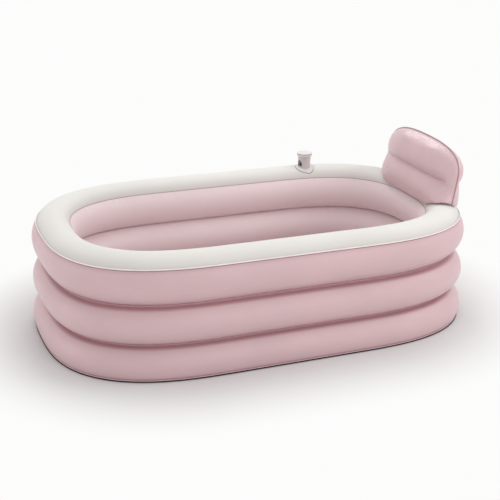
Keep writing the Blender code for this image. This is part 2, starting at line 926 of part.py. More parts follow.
def chamber_valve(prefix, placing):
    neck_top = valve_flange_thickness + valve_neck_height
    profile = [
        (0, 0),
        (valve_flange_radius, 0),
        (valve_flange_radius, valve_flange_thickness / 2),
        (valve_neck_radius, valve_flange_thickness),
        (valve_neck_radius, neck_top),
        (valve_bore_radius, neck_top),
        (valve_bore_radius, valve_bore_floor),
        (0, valve_bore_floor),
    ]
    finish(prefix + "_valve", turned(profile, valve_steps, placing), clear_vinyl, satin)
    shank = valve_bore_radius - touch_gap
    head_low = neck_top + touch_gap
    head_top = head_low + stopper_head_height
    profile = [
        (0, head_low - stopper_shank_length),
        (shank, head_low - stopper_shank_length),
        (shank, head_low),
        (stopper_head_radius, head_low),
        (stopper_head_radius, head_top),
        (stopper_grip_width, head_top),
        (stopper_grip_width / 2, head_top + stopper_grip_height),
        (0, head_top + stopper_grip_height),
    ]
    finish(prefix + "_stopper", turned(profile, valve_steps, placing), clear_vinyl, satin)


def ring_valve_seat(side):
    # On the far side, where the ring bulges most
    inset, height = min(side)
    return Vector((ring_valve_x, half_width - inset + touch_gap, height))


def make_ring_valves():
    for prefix, side in (("lower_ring", lower_ring_side()), ("middle_ring", middle_ring_side())):
        chamber_valve(prefix, facing(ring_valve_seat(side), (0, 1, 0)))


def floor_valve_seat():
    end = -(half_length - floor_inset - drain_bay)
    crest = sheet_thickness + touch_gap + floor_height(0)
    return Vector((end + floor_end_round + floor_valve_back, 0, crest + touch_gap))


def make_floor_valve():
    chamber_valve("floor", facing(floor_valve_seat(), (0, 0, 1)))


def backrest_valve_seat():
    # On the upper lobe of the rear panel: the place, and the direction square to the surface
    depth = back_depth(0, backrest_valve_height)
    point = Vector(backrest_point(0, backrest_valve_height, -depth - touch_gap))
    step = valve_flange_radius
    spots = []
    for height in (backrest_valve_height - step, backrest_valve_height + step):
        spots.append(Vector(backrest_point(0, height, -back_depth(0, height))))
    outward = (spots[1] - spots[0]).cross(Vector((0, -1, 0))).normalized()
    outward = outward if outward.x > 0 else -outward
    return point + outward * touch_gap, outward


def make_backrest_valve():
    chamber_valve("backrest", facing(*backrest_valve_seat()))


def front_form():
    return (backrest_front_foot, backrest_front_waist, backrest_front_lower_bulge,
            backrest_front_upper_depth, backrest_front_side_round)


def back_form():
    return (backrest_back_foot, backrest_back_waist, backrest_back_lower_bulge,
            backrest_back_upper_depth, backrest_back_side_round)


def back_depth(y, height):
    return backrest_depth(y, height, backrest_height, *back_form())


# Drain

def drain_placing():
    return Matrix.Translation((drain_inset - half_length, 0, 0))


def drain_deck():
    return sheet_thickness + touch_gap + drain_flange_thickness


def make_drain_body():
    profile = [
        (drain_bore_radius, touch_gap),
        (drain_spigot_radius, touch_gap),
        (drain_spigot_radius, sheet_thickness + touch_gap),
        (drain_flange_radius, sheet_thickness + touch_gap),
        (drain_flange_radius, drain_deck() - drain_flange_thickness / 2),
        (drain_flange_radius - drain_flange_thickness, drain_deck()),
        (drain_bore_radius, drain_deck()),
    ]
    finish("drain_body", turned(profile, round_steps, drain_placing()), white_plastic, satin)


def make_drain_seal():
    low = drain_deck() + touch_gap
    shank = drain_bore_radius
    profile = [(shank, low), (drain_seal_radius, low),
               (drain_seal_radius, low + drain_seal_thickness), (shank, low + drain_seal_thickness)]
    finish("drain_seal", turned(profile, round_steps, drain_placing()), dark_rubber, matte)


def make_drain_plug():
    head_low = drain_deck() + 2 * touch_gap + drain_seal_thickness
    head_top = head_low + drain_plug_head_thickness
    shank = drain_bore_radius - touch_gap
    shank_low = drain_deck() - drain_plug_shank
    profile = [
        (0, shank_low),
        (shank, shank_low),
        (shank, head_low),
        (drain_plug_head_radius, head_low),
        (drain_plug_head_radius, head_top - drain_plug_head_thickness / 2),
        (drain_plug_head_radius - drain_plug_head_thickness / 2, head_top),
        (0, head_top),
    ]
    plug = finish("drain_plug", turned(profile, round_steps, drain_placing()), white_plastic, satin)
    buried = (head_low + head_top) / 2
    outline = box_outline(drain_grip_width / 2, drain_grip_length / 2)
    grip = slab(outline, buried, head_top + drain_grip_height, drain_placing())
    cut(plug, finish("drain_grip_piece", grip, white_plastic, satin), "UNION")


# Joints

def hang(point, *names):
    # Puts the origin of moving pieces on their joint axis
    for name in names:
        obj = bpy.data.objects[name]
        obj.data.transform(Matrix.Translation(-Vector(point)))
        obj.location = point


def place_joints():
    hinge = Vector((half_length - backrest_hinge_inset, 0, rim_crest() + touch_gap))
    hang(hinge, "backrest_front_panel", "backrest_back_panel", "backrest_welt", "backrest_valve")
    valve = rim_valve_placing().translation
    hang(valve, "valve_cap", "valve_cap_seal", "valve_diaphragm", "valve_side_plug")
    hang(drain_placing().translation, "drain_plug", "drain_seal")
    hang(ring_valve_seat(lower_ring_side()), "lower_ring_stopper")
    hang(ring_valve_seat(middle_ring_side()), "middle_ring_stopper")
    hang(floor_valve_seat(), "floor_stopper")
    hang(backrest_valve_seat()[0], "backrest_stopper")


def main():
    clear_scene()
    make_base_sheet()
    make_base_weld_lip()
    make_lower_ring()
    make_middle_ring()
    make_upper_ring()
    make_rim_cover()
    make_welt("rim_outer_welt", welt_height, welt_reach, False)
    make_welt("rim_inner_welt", inner_welt_height, inner_welt_reach, True)
    make_floor_cushion()
    backrest_panel("backrest_front_panel", 1, *front_form())
    backrest_panel("backrest_back_panel", -1, *back_form())
    make_backrest_welt()
    make_backrest_base_strip()
    make_valve_flange()
    make_valve_stem()
    make_valve_side_plug()
    make_valve_seat()
    make_valve_diaphragm()
    make_valve_cap()
    make_valve_cap_seal()
    make_ring_valves()
    make_floor_valve()
    make_backrest_valve()
    make_drain_body()
    make_drain_seal()
    make_drain_plug()
    place_joints()


main()
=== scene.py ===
import math
from contextlib import contextmanager
import bpy
import numpy as np
from mathutils import Matrix, Vector
from mathutils.kdtree import KDTree


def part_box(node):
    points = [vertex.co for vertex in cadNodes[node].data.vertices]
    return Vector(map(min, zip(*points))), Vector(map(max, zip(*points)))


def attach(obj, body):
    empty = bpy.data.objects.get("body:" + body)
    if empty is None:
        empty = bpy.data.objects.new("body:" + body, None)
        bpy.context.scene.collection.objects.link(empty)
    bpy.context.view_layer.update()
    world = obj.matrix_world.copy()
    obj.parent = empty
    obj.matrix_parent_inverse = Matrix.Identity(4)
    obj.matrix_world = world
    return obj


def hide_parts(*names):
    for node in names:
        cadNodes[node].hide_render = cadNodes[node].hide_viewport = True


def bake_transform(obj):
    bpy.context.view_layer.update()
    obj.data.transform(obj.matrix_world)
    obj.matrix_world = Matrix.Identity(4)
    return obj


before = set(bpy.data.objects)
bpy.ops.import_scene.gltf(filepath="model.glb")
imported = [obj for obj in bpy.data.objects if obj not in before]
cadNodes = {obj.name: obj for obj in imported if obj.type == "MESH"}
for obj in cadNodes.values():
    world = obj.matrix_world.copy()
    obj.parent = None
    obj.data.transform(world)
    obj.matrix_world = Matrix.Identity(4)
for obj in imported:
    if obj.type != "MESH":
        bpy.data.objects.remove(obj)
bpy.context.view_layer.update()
bpy.ops.object.select_all(action="DESELECT")
print("frame loaded:", len(cadNodes), "nodes")

# Plan of the tub: straight sides between two rounded ends, measured at the outer rim seam
plan = {
    "halfLength": 0.78, "halfWidth": 0.453, "straightHalf": 0.237, "power": 2.73, "stations": 420,
    "walkInset": 0.057, "bendSteps": 900, "sideSteps": 400, "insetRange": (-0.08, 0.30), "halvings": 40,
}
seamLevel = 0.3955
coverWidth = 0.1137
crownRise = 0.0388
crownRadius = (coverWidth ** 2 / 4 + crownRise ** 2) / (2 * crownRise)
crestLevel = seamLevel + crownRise
fullTurn = 2 * math.pi
tiny = 0.00001  # radius of a pole before it is merged, and the merge distance of swept skins
softAngle = 60  # edges flatter than this are shaded smooth on the soft skins


# Helpers used by every piece

def deselect():
    if bpy.context.object and bpy.context.object.mode != "OBJECT":
        bpy.ops.object.mode_set(mode="OBJECT")
    bpy.ops.object.select_all(action="DESELECT")


def pick(piece):
    deselect()
    piece.select_set(True)
    bpy.context.view_layer.objects.active = piece


def begin(name, primitive, **settings):
    deselect()
    primitive(**settings)
    piece = bpy.context.object
    piece.name = name
    piece.data.name = name
    return piece


@contextmanager
def editing(piece):  # edit mode with everything selected
    pick(piece)
    bpy.ops.object.mode_set(mode="EDIT")
    bpy.ops.mesh.select_all(action="SELECT")
    yield
    bpy.ops.object.mode_set(mode="OBJECT")


def faceOutward(piece):
    with editing(piece):
        bpy.ops.mesh.normals_make_consistent(inside=False)


def closeUp(piece, threshold=tiny, holes=0):
    with editing(piece):
        bpy.ops.mesh.remove_doubles(threshold=threshold)
        if holes:
            bpy.ops.mesh.fill_holes(sides=holes)
        bpy.ops.mesh.normals_make_consistent(inside=False)


def settle(piece, scale):  # place and scale go into the mesh, so the object sits at the origin
    piece.scale = scale
    pick(piece)
    bpy.ops.object.transform_apply(location=True, rotation=True, scale=True)


def applyAll(piece):
    pick(piece)
    for modifier in list(piece.modifiers):
        bpy.ops.object.modifier_apply(modifier=modifier.name)


def roundEdges(piece, width, segments=2, angle=35):
    bevel = piece.modifiers.new("edges", "BEVEL")
    bevel.width = width
    bevel.segments = segments
    bevel.limit_method = "ANGLE"
    bevel.angle_limit = math.radians(angle)
    applyAll(piece)


def smooth(piece, angle=35):
    pick(piece)
    bpy.ops.object.shade_smooth_by_angle(angle=math.radians(angle))


def joinInto(piece, *others):
    deselect()
    for part in (*others, piece):
        part.select_set(True)
    bpy.context.view_layer.objects.active = piece
    bpy.ops.object.join()


def dress(piece, material, body, stands=()):
    piece.data.materials.clear()
    piece.data.materials.append(material)
    if body:
        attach(piece, body)
    if stands:
        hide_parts(*stands)
    return piece


def moveVerts(piece, points):
    piece.data.vertices.foreach_set("co", np.asarray(points, np.float32).reshape(-1))
    piece.data.update()


def readValues(items, key, width, kind=np.float32):
    values = np.zeros(len(items) * width, kind)
    items.foreach_get(key, values)
    return values.reshape(-1, width)


def readVerts(piece):
    return readValues(piece.data.vertices, "co", 3).astype(float)


def placeOn(piece, placing):
    piece.data.transform(placing)
    piece.data.update()


def facing(point, outward):
    # Placing whose local Z points outward and whose local Y points up the surface
    outward = Vector(outward).normalized()
    sideways = Vector((0, 0, 1)).cross(outward)
    sideways = sideways.normalized() if sideways.length > 0 else Vector((1, 0, 0))
    turn = Matrix((sideways, outward.cross(sideways), outward)).transposed().to_4x4()
    return Matrix.Translation(point) @ turn


# Plan and section geometry

def ellipseReach(angle, length, width, power):
    return ((np.abs(np.cos(angle)) / length) ** power + (np.abs(np.sin(angle)) / width) ** power) ** (-1 / power)


def planPoint(centre, direction, inset):
    length = plan["halfLength"] - plan["straightHalf"] - inset
    reach = ellipseReach(direction, length, plan["halfWidth"] - inset, plan["power"])
    return centre + reach * np.cos(direction), reach * np.sin(direction)


def walkPlan(count):
    # Stations at even spacing round the tub: bend centre and direction of each, and its share of the way
    centres, directions = [], []
    for end, past in ((1, 0), (-1, math.pi)):
        bend, side = plan["bendSteps"], plan["sideSteps"]
        centres.append(np.full(bend, end * plan["straightHalf"]))
        directions.append(np.linspace(-math.pi / 2, math.pi / 2, bend, endpoint=False) + past)
        centres.append(end * plan["straightHalf"] * np.linspace(1, -1, side, endpoint=False))
        directions.append(np.full(side, end * math.pi / 2 + 2 * past))
    centre, direction = np.concatenate(centres), np.concatenate(directions)
    x, y = planPoint(centre, direction, plan["walkInset"])
    step = np.hypot(np.diff(x, append=x[0]), np.diff(y, append=y[0]))
    along = np.concatenate([[0], np.cumsum(step)])
    wanted = np.arange(count) / count
    place = np.interp(wanted * along[-1], along, np.arange(len(along)))
    low = np.floor(place).astype(int) % len(centre)
    high = (low + 1) % len(centre)
    share = place - np.floor(place)
    turnHigh = direction[high].copy()
    turnHigh[turnHigh - direction[low] < -3] += fullTurn
    return centre[low] * (1 - share) + centre[high] * share, direction[low] * (1 - share) + turnHigh * share, wanted


def crownLevel(inset):
    return crestLevel - crownRadius + np.sqrt(crownRadius ** 2 - (inset - coverWidth / 2) ** 2)


def insetAt(x, y):
    # Inset of a place on a rounded end or on a straight side, by halving
    beyond = np.maximum(np.abs(x) - plan["straightHalf"], 0)
    low, high = (np.full(np.shape(x), limit) for limit in plan["insetRange"])
    for _ in range(plan["halvings"]):
        middle = (low + high) / 2
        length = plan["halfLength"] - plan["straightHalf"] - middle
        width = plan["halfWidth"] - middle
        outside = (beyond / length) ** plan["power"] + (np.abs(y) / width) ** plan["power"] > 1
        low, high = np.where(outside, low, middle), np.where(outside, middle, high)
    return (low + high) / 2


def arcPoints(start, end, bulge, count):
    # Even points on an arc that bulges to the left of the way from start to end
    start, end = np.array(start, float), np.array(end, float)
    span = np.linalg.norm(end - start)
    along = (end - start) / span
    side = np.array((-along[1], along[0]))
    radius = (span ** 2 / 4 + bulge ** 2) / (2 * bulge)
    half = 2 * math.atan(2 * bulge / span)
    middle = (start + end) / 2 + side * (bulge - radius)
    angle = np.linspace(-half, half, count)[:, None]
    return middle + radius * (np.sin(angle) * along + np.cos(angle) * side)


def crownPoints(offset, count, longer=0.0):
    half = 2 * math.atan(2 * crownRise / coverWidth) + longer / crownRadius
    angle = np.linspace(-half, half, count)
    reach = crownRadius + offset
    return np.stack([coverWidth / 2 + reach * np.sin(angle), crestLevel - crownRadius + reach * np.cos(angle)], 1)


def roundTrip(share, waves, seed):
    # A smooth closed ripple round the tub, between about -1 and 1
    chance = np.random.default_rng(seed)
    total = np.zeros_like(share)
    for count in waves:
        total += np.sin(fullTurn * (share * count + chance.random())) * (0.6 + 0.4 * chance.random())
    return total / math.sqrt(len(waves))


def outwardOf(section):
    # Outward normals of a loop of inset and height points
    tangent = np.roll(section, -1, 0) - np.roll(section, 1, 0)
    tangent /= np.maximum(np.linalg.norm(tangent, axis=1, keepdims=True), 1e-9)
    return np.stack([-tangent[:, 1], tangent[:, 0]], 1)


def eased(share):
    return (1 - np.cos(math.pi * np.clip(share, 0, 1))) / 2


def rounded(distance, radius):
    inside = np.clip(distance / radius, 0, 1)
    return np.sqrt(np.clip(1 - (1 - inside) ** 2, 0, 1))


def crowd(places, share):  # closer steps towards both ends
    return places + (np.sin(places * math.pi / 2) - places) * share


def gridPiece(name, columns, rows):  # with the places of its points, from -1 to 1 both ways
    piece = begin(name, bpy.ops.mesh.primitive_grid_add, x_subdivisions=columns, y_subdivisions=rows, size=2)
    return piece, *np.clip(readVerts(piece), -1, 1).T[:2]


def stripGrid(name, columns, rows):
    # A grid with the column and the row of each point, where the last row meets the first
    piece, across, up = gridPiece(name, columns, rows)
    return piece, np.rint((across + 1) / 2 * columns).astype(int), np.rint((up + 1) / 2 * rows).astype(int) % rows


def sweepPiece(name, section, proud=None):
    # The section swept round the plan and joined up both ways
    piece, station, place = stripGrid(name, len(centreOf), len(section))
    station %= len(centreOf)
    inset, level = section[place].T
    if proud is not None:
        lift = proud[station, place][:, None] * outwardOf(section)[place]
        inset, level = inset + lift[:, 0], level + lift[:, 1]
    x, y = planPoint(centreOf[station], directionOf[station], inset)
    moveVerts(piece, np.stack([x, y, level], -1))
    closeUp(piece)
    return piece


centreOf, directionOf, shareOf = walkPlan(plan["stations"])
# 1 in the middle of a rounded end, 0 on the straight sides
bendOf = np.clip((np.abs(centreOf) >= plan["straightHalf"] - 1e-6) * np.abs(np.cos(directionOf)) * 1.6, 0, 1)


# Materials

def setInputs(tree, node, inputs):
    for name, value in inputs.items():
        if isinstance(value, bpy.types.NodeSocket):
            tree.links.new(value, node.inputs[name])
        elif value is not None:
            node.inputs[name].default_value = value


def addNode(tree, kind, inputs=None, **settings):
    node = tree.nodes.new("ShaderNode" + kind)
    for name, value in settings.items():
        setattr(node, name, value)
    setInputs(tree, node, inputs or {})
    return node


def newMaterial(name, colour, roughness):
    material = bpy.data.materials.new(name)
    material.use_nodes = True
    tree = material.node_tree
    shader = tree.nodes["Principled BSDF"]
    setInputs(tree, shader, {"Base Color": (*colour, 1), "Roughness": roughness})
    return material, tree, shader


def objectPlace(tree):
    return addNode(tree, "TexCoord").outputs["Object"]


def addNoise(tree, scale, detail=2.0, rough=0.5):
    inputs = {"Vector": objectPlace(tree), "Scale": scale, "Detail": detail, "Roughness": rough}
    return addNode(tree, "TexNoise", inputs).outputs["Fac"]


def addMath(tree, operation, first, second=None):
    return addNode(tree, "Math", {0: first, 1: second}, operation=operation).outputs["Value"]


def addRange(tree, value, start, end, low=0.0, high=1.0, blend="LINEAR"):
    inputs = {"Value": value, "From Min": start, "From Max": end, "To Min": low, "To Max": high}
    return addNode(tree, "MapRange", inputs, interpolation_type=blend).outputs["Result"]


def mixColour(tree, factor, first, second, blend="MIX"):
    # Inputs 0, 6 and 7 and output 2 are the factor and the colours of a Mix node
    return addNode(tree, "Mix", {0: factor, 6: first, 7: (*second, 1)}, data_type="RGBA", blend_type=blend).outputs[2]


def addRamp(tree, height, colour, spread, warm=0.0):
    # Colour that drifts a little lighter and darker with a height
    dark = [max(0, c * (1 - spread)) for c in colour]
    light = [min(1, c * (1 + spread * 0.7)) for c in colour]
    light[0] = min(1, light[0] * (1 + warm))
    ramp = addNode(tree, "ValToRGB", {"Fac": height})
    for element, shade, position in zip(ramp.color_ramp.elements, (dark, light), (0.3, 0.7)):
        element.color = (*shade, 1)
        element.position = position
    return ramp.outputs["Color"]


def addShadeBand(tree, middle, reach, depth):
    # A soft level band of painted shade: depth at its middle, 0 beyond its reach
    level = addNode(tree, "SeparateXYZ", {"Vector": objectPlace(tree)}).outputs["Z"]
    away = addMath(tree, "ABSOLUTE", addMath(tree, "SUBTRACT", level, middle))
    return addRange(tree, away, reach, 0.0, 0.0, depth, "SMOOTHSTEP")


def paint(tree, shader, colour, cloudy, roughness, bumps, depth):
    # Colour, cloudy roughness and one bump node for each pair of height and share, chained
    normal = None
    for height, share in bumps:
        inputs = {"Strength": share, "Distance": depth, "Height": height, "Normal": normal}
        normal = addNode(tree, "Bump", inputs).outputs["Normal"]
    rough = addRange(tree, cloudy, 0.3, 0.7, *roughness)
    setInputs(tree, shader, {"Base Color": colour, "Roughness": rough, "Normal": normal})


vinylLook = {
    "colour": (0.613, 0.430, 0.450), "roughness": (0.38, 0.48), "grain": 900, "grainDepth": 0.0006,
    "drift": 0.035, "driftScale": 5.0, "warm": 0.01, "cloudScale": 28, "waveScale": 16, "specular": 0.45,
    "film": {"Sheen Weight": 0.12, "Sheen Roughness": 0.35, "Sheen Tint": (1, 0.93, 0.93, 1), "Subsurface Weight": 0.12,
             "Subsurface Radius": (0.02, 0.008, 0.006), "Subsurface Scale": 0.5},
}


def makeVinyl(name, look):
    material, tree, shader = newMaterial(name, look["colour"], look["roughness"][0])
    colour = addRamp(tree, addNoise(tree, look["driftScale"]), look["colour"], look["drift"], look["warm"])
    # Bands of painted shade darken the vinyl at the grooves, under the rim seam and near the foot
    for middle, reach, depth in look.get("bands", ()):
        colour = mixColour(tree, addShadeBand(tree, middle, reach, depth), colour, look["shadeBandTint"], "MULTIPLY")
    # The inner side is painted lighter: painted light inside the well
    if "paintedLightInnerColour" in look:
        side = addNode(tree, "Attribute", attribute_name="innerSide")
        colour = mixColour(tree, side.outputs["Fac"], colour, look["paintedLightInnerColour"])
    bumps = [(addNoise(tree, look["grain"], 2.0, 0.55), 0.5), (addNoise(tree, look["waveScale"]), 0.25)]
    paint(tree, shader, colour, addNoise(tree, look["cloudScale"], 3.0), look["roughness"], bumps, look["grainDepth"])
    setInputs(tree, shader, {"Specular IOR Level": look["specular"], **look["film"]})
    return material


coverLook = {"colour": (0.755, 0.735, 0.70), "roughness": (0.72, 0.85), "drift": 0.02, "driftScale": 4.0,
             "seamShadeReach": 0.036, "seamShadeTint": (0.86, 0.84, 0.838), "cloudScale": 40, "pile": 1400, "softScale": 120,
             "pileDepth": 0.0005, "film": {"Specular IOR Level": 0.25, "Sheen Weight": 0.15, "Sheen Roughness": 0.5}}


def makeCoverVinyl(name, look):
    material, tree, shader = newMaterial(name, look["colour"], look["roughness"][0])
    colour = addRamp(tree, addNoise(tree, look["driftScale"]), look["colour"], look["drift"])
    # Painted shade: the cover is darker towards its seams
    edge = addShadeBand(tree, seamLevel, look["seamShadeReach"], 1.0)
    colour = mixColour(tree, edge, colour, look["seamShadeTint"], "MULTIPLY")
    bumps = [(addNoise(tree, look["pile"], 3.0, 0.7), 0.5), (addNoise(tree, look["softScale"]), 0.2)]
    paint(tree, shader, colour, addNoise(tree, look["cloudScale"]), look["roughness"], bumps, look["pileDepth"])
    setInputs(tree, shader, look["film"])
    return material


def makePlain(name, colour, roughness, drift=0.03, grain=700, depth=0.0001, specular=0.5):
    material, tree, shader = newMaterial(name, colour, roughness)
    paint(tree, shader, addRamp(tree, addNoise(tree, 60), colour, drift), addNoise(tree, 150),
          (roughness * 0.9, min(1, roughness * 1.12)), [(addNoise(tree, grain), 0.5)], depth)
    setInputs(tree, shader, {"Specular IOR Level": specular})
    return material


def makeClear(name, colour, roughness):
    material, tree, shader = newMaterial(name, colour, roughness)
    paint(tree, shader, addRamp(tree, addNoise(tree, 80), colour, 0.02), addNoise(tree, 200),
          (roughness * 0.8, roughness * 1.3), [(addNoise(tree, 300), 0.3)], 0.0002)
    setInputs(tree, shader, {"Transmission Weight": 0.55, "IOR": 1.53})
    return material


# Bands of painted shade on the ring vinyl, and its inner side painted lighter as painted light
paintedShadeAndLight = {  # middle, reach and depth of each darker band, and the film inside the rings
    "bands": ((0.1125, 0.0095, 0.9), (0.2520, 0.0095, 0.9), (0.3895, 0.010, 0.2), (0.0100, 0.010, 0.5)),
    "shadeBandTint": (0.62, 0.43, 0.46), "paintedLightInnerColour": (0.80, 0.66, 0.675),
}
pinkVinyl = makeVinyl("pinkVinyl", {**vinylLook, **paintedShadeAndLight})
# The floor sheet and air floor are painted lighter than the ring vinyl: painted light inside the well
litInnerVinyl = makeVinyl("pinkInnerVinylPaintedLight", {**vinylLook, "colour": (0.74, 0.62, 0.62)})
backrestVinyl = makeVinyl("backrestVinyl", {**vinylLook, "colour": (0.635, 0.445, 0.468), "driftScale": 9.0,
                                            "roughness": (0.28, 0.33), "specular": 0.7})
coverVinyl = makeCoverVinyl("flockedRimVinyl", coverLook)
weltVinyl = makePlain("paleWeldVinyl", (0.82, 0.74, 0.74), 0.42, 0.04)
# Dark mauve for lines of painted shade under the welt, in the foot crevice and at the pillow's foot
shadeLineMauve = makePlain("mauveShadeLine", (0.30, 0.17, 0.19), 0.55, 0.08)
# Dark mauve for the bead in each groove: painted shade
grooveShadeMauve = makePlain("grooveShadeMauve", (0.46, 0.255, 0.29), 0.6, 0.05, specular=0.2)
# Near black for the bead at the floor line: painted contact shade
footContactShade = makePlain("footContactShadeVinyl", (0.05, 0.012, 0.017), 0.7, 0.08, specular=0.15)
seamWeld = makePlain("greyMauveSeam", (0.40, 0.27, 0.29), 0.5, 0.06)
innerSeamWeld = makePlain("innerSeamWeld", (0.42, 0.34, 0.34), 0.5, 0.06)
shadowLine = makePlain("shadowLine", (0.13, 0.105, 0.105), 0.6, 0.06, specular=0.2)
lipVinyl = makePlain("footLipVinyl", (0.74, 0.55, 0.58), 0.45, 0.05)
patchVinyl = makePlain("patchVinyl", (0.78, 0.75, 0.72), 0.5, 0.03)
fittingPlastic = makePlain("fittingPlastic", (0.72, 0.68, 0.665), 0.42, 0.02, 900, 0.00008)
stemPlastic = makePlain("stemPlastic", (0.60, 0.55, 0.535), 0.45, 0.02, 900, 0.00008)
flangePlastic = makePlain("flangePlastic", (0.70, 0.675, 0.66), 0.55, 0.02, 900, 0.00008)
plugRubber = makePlain("plugRubber", (0.25, 0.22, 0.22), 0.5, 0.08, 500, 0.0002, 0.4)
greyPlastic = makePlain("greyPlastic", (0.42, 0.39, 0.385), 0.4)
darkRubber = makePlain("darkRubber", (0.035, 0.03, 0.03), 0.6, 0.15, 500, 0.0002, 0.35)
clearVinyl = makeClear("clearValveVinyl", (0.86, 0.84, 0.84), 0.25)
print("materials made")


# Air rings

beadPoints = 14


def beadPiece(name, inset, level, wide, tall, material, stands=()):
    # A bead of rounded section that runs round the tub at one inset and level
    angle = np.linspace(0, fullTurn, beadPoints, endpoint=False)
    piece = sweepPiece(name, np.stack([inset - wide * np.cos(angle), level + tall * np.sin(angle)], 1))
    smooth(piece, softAngle)
    return dress(piece, material, "tub", stands)


rings = {
    "foot": (-0.019, 0.0086), "footInner": (0.095, 0.0086), "middle": 0.0569, "turnOver": 0.02,
    "lowerGroove": (0.028, 0.1185), "upperGroove": (0.031, 0.2582), "weldGap": (0, 0.0003),
    "lowerBulge": 0.0281, "lowerInnerBulge": 0.0465, "middleBulge": 0.0522, "upperBulge": 0.0343,
    "sidePoints": 26, "flatPoints": 5, "crownPoints": 30, "underCover": 0.0028, "crownPast": 0.0003,
    "edgeAngle": 55, "puckerReach": 0.042, "weldClear": 0.006, "outerPucker": 0.0004, "innerPucker": 0.0017,
    "fineWaves": (97, 118, 139, 161, 173), "sharpness": 1.3, "straightShare": 0.35,
    "broadWaves": (23, 31, 44, 57), "broadHeight": 0.0004, "broadShare": 0.3,
}
# Size of the dark bead that sits in each groove as painted shade
grooveBead = {"out": 0.0035, "down": 0.0018, "wide": 0.0058, "tall": 0.0062}


def straight(start, end):
    return np.linspace(start, end, rings["flatPoints"])


def puckers(section, corners, seed):
    # Fine gathers that start at the weld lines and die out on the bulge
    run = np.zeros(len(section))
    for corner in corners:
        away = np.linalg.norm(section - corner, axis=1)
        fading = np.clip(1 - away / rings["puckerReach"], 0, 1) ** 2
        run = np.maximum(run, fading * np.clip(away / rings["weldClear"], 0, 1))
    inner = np.clip((section[:, 0] - rings["middle"]) / rings["turnOver"], 0, 1)
    size = rings["outerPucker"] * (1 - inner) + rings["innerPucker"] * inner
    fine = roundTrip(shareOf, rings["fineWaves"], seed)
    broad = roundTrip(shareOf, rings["broadWaves"], seed + 1)
    gather = np.sign(fine) * np.abs(fine) ** rings["sharpness"]
    bent = rings["straightShare"] + (1 - rings["straightShare"]) * bendOf
    return np.outer(gather * bent, run * size) + rings["broadHeight"] * np.outer(broad, rings["broadShare"] + run)


def makeRing(prefix, outer, inner, top, seed):
    section = np.concatenate([outer, top[1:-1], inner, straight(inner[-1], outer[0])[1:-1]])
    corners = (outer[0], outer[-1], inner[0], inner[-1])
    piece = sweepPiece(prefix + "AirRing", section, puckers(section, corners, seed))
    places = readVerts(piece)
    inward = (insetAt(places[:, 0], places[:, 1]) - rings["middle"]) / rings["turnOver"] + 0.5
    # The inner-side share marks where the vinyl is painted lighter, as painted light
    side = piece.data.attributes.new("innerSide", "FLOAT", "POINT")  # read by the vinyl's inner colour
    side.data.foreach_set("value", np.clip(inward, 0, 1).astype(np.float32))
    smooth(piece, rings["edgeAngle"])
    dress(piece, pinkVinyl, "tub", [prefix + "_ring"])


def makeRings():
    lowerWeld, upperWeld, gap = (np.array(rings[key]) for key in ("lowerGroove", "upperGroove", "weldGap"))
    runs = {"lower": (rings["foot"], lowerWeld, 11), "middle": (lowerWeld + gap, upperWeld, 23),
            "upper": (upperWeld + gap, np.array((0, seamLevel)) - gap, 37)}
    for prefix, (start, end, seed) in runs.items():
        outer = arcPoints(start, end, rings[prefix + "Bulge"], rings["sidePoints"])
        inner = np.stack([2 * rings["middle"] - outer[::-1, 0], outer[::-1, 1]], 1)
        if prefix == "lower":  # its inner side reaches further out at the foot
            inner = arcPoints(inner[0], rings["footInner"], rings["lowerInnerBulge"], rings["sidePoints"])
        top = straight(outer[-1], inner[0])
        if prefix == "upper":
            top = crownPoints(-rings["underCover"], rings["crownPoints"], rings["crownPast"])
        makeRing(prefix, outer, inner, top, seed)
    # A dark bead in each groove stands in for the shade there: painted shade
    for prefix in ("lower", "upper"):
        inset, level = rings[prefix + "Groove"]
        beadPiece(prefix + "GrooveShadeBead", inset - grooveBead["out"], level - grooveBead["down"],
                  grooveBead["wide"], grooveBead["tall"], grooveShadeMauve)


makeRings()
print("air rings swept")

# Rim cover with its welded seams

cover = {
    "thickness": 0.0022, "points": 34, "pucker": 0.0005, "fade": 5, "start": 20, "liftStart": 6, "outerShare": 0.35,
    "straightShare": 0.4, "fineWaves": (83, 101, 127, 149), "broadWaves": (9, 14, 19, 27), "broadHeight": 0.0003,
}


def makeRimCover():
    top = crownPoints(0, cover["points"])
    under = crownPoints(-cover["thickness"], cover["points"])[::-1]
    section = np.concatenate([top, under])
    count = np.arange(len(top))
    edge = np.minimum(count, count[::-1]) / len(top)
    plain = np.zeros(len(under))
    run = np.concatenate([np.clip(1 - edge * cover["fade"], 0, 1) * np.clip(edge * cover["start"], 0, 1), plain])
    run *= np.where(section[:, 0] > coverWidth / 2, 1.0, cover["outerShare"])
    lift = np.concatenate([np.clip(edge * cover["liftStart"], 0, 1), plain])
    fine = roundTrip(shareOf, cover["fineWaves"], 51)
    broad = roundTrip(shareOf, cover["broadWaves"], 52)
    bent = cover["straightShare"] + (1 - cover["straightShare"]) * bendOf
    proud = np.outer(fine * bent, run * cover["pucker"]) + cover["broadHeight"] * np.outer(broad, lift)
    piece = sweepPiece("rimCoverSkin", section, proud)
    smooth(piece, softAngle)
    dress(piece, coverVinyl, "tub", ["rim_cover"])


makeRimCover()
beadPiece("outerRimWelt", -0.0026, seamLevel + 0.0002, 0.0024, 0.0026, weltVinyl, ["rim_outer_welt"])
# A dark bead just under the outer welt: painted shade under the welt
beadPiece("outerRimShadeLine", -0.0020, seamLevel - 0.0036, 0.0020, 0.0014, shadeLineMauve)
beadPiece("innerRimWelt", coverWidth + 0.0006, seamLevel, 0.0010, 0.0013, innerSeamWeld, stands=["rim_inner_welt"])
print("rim cover made")

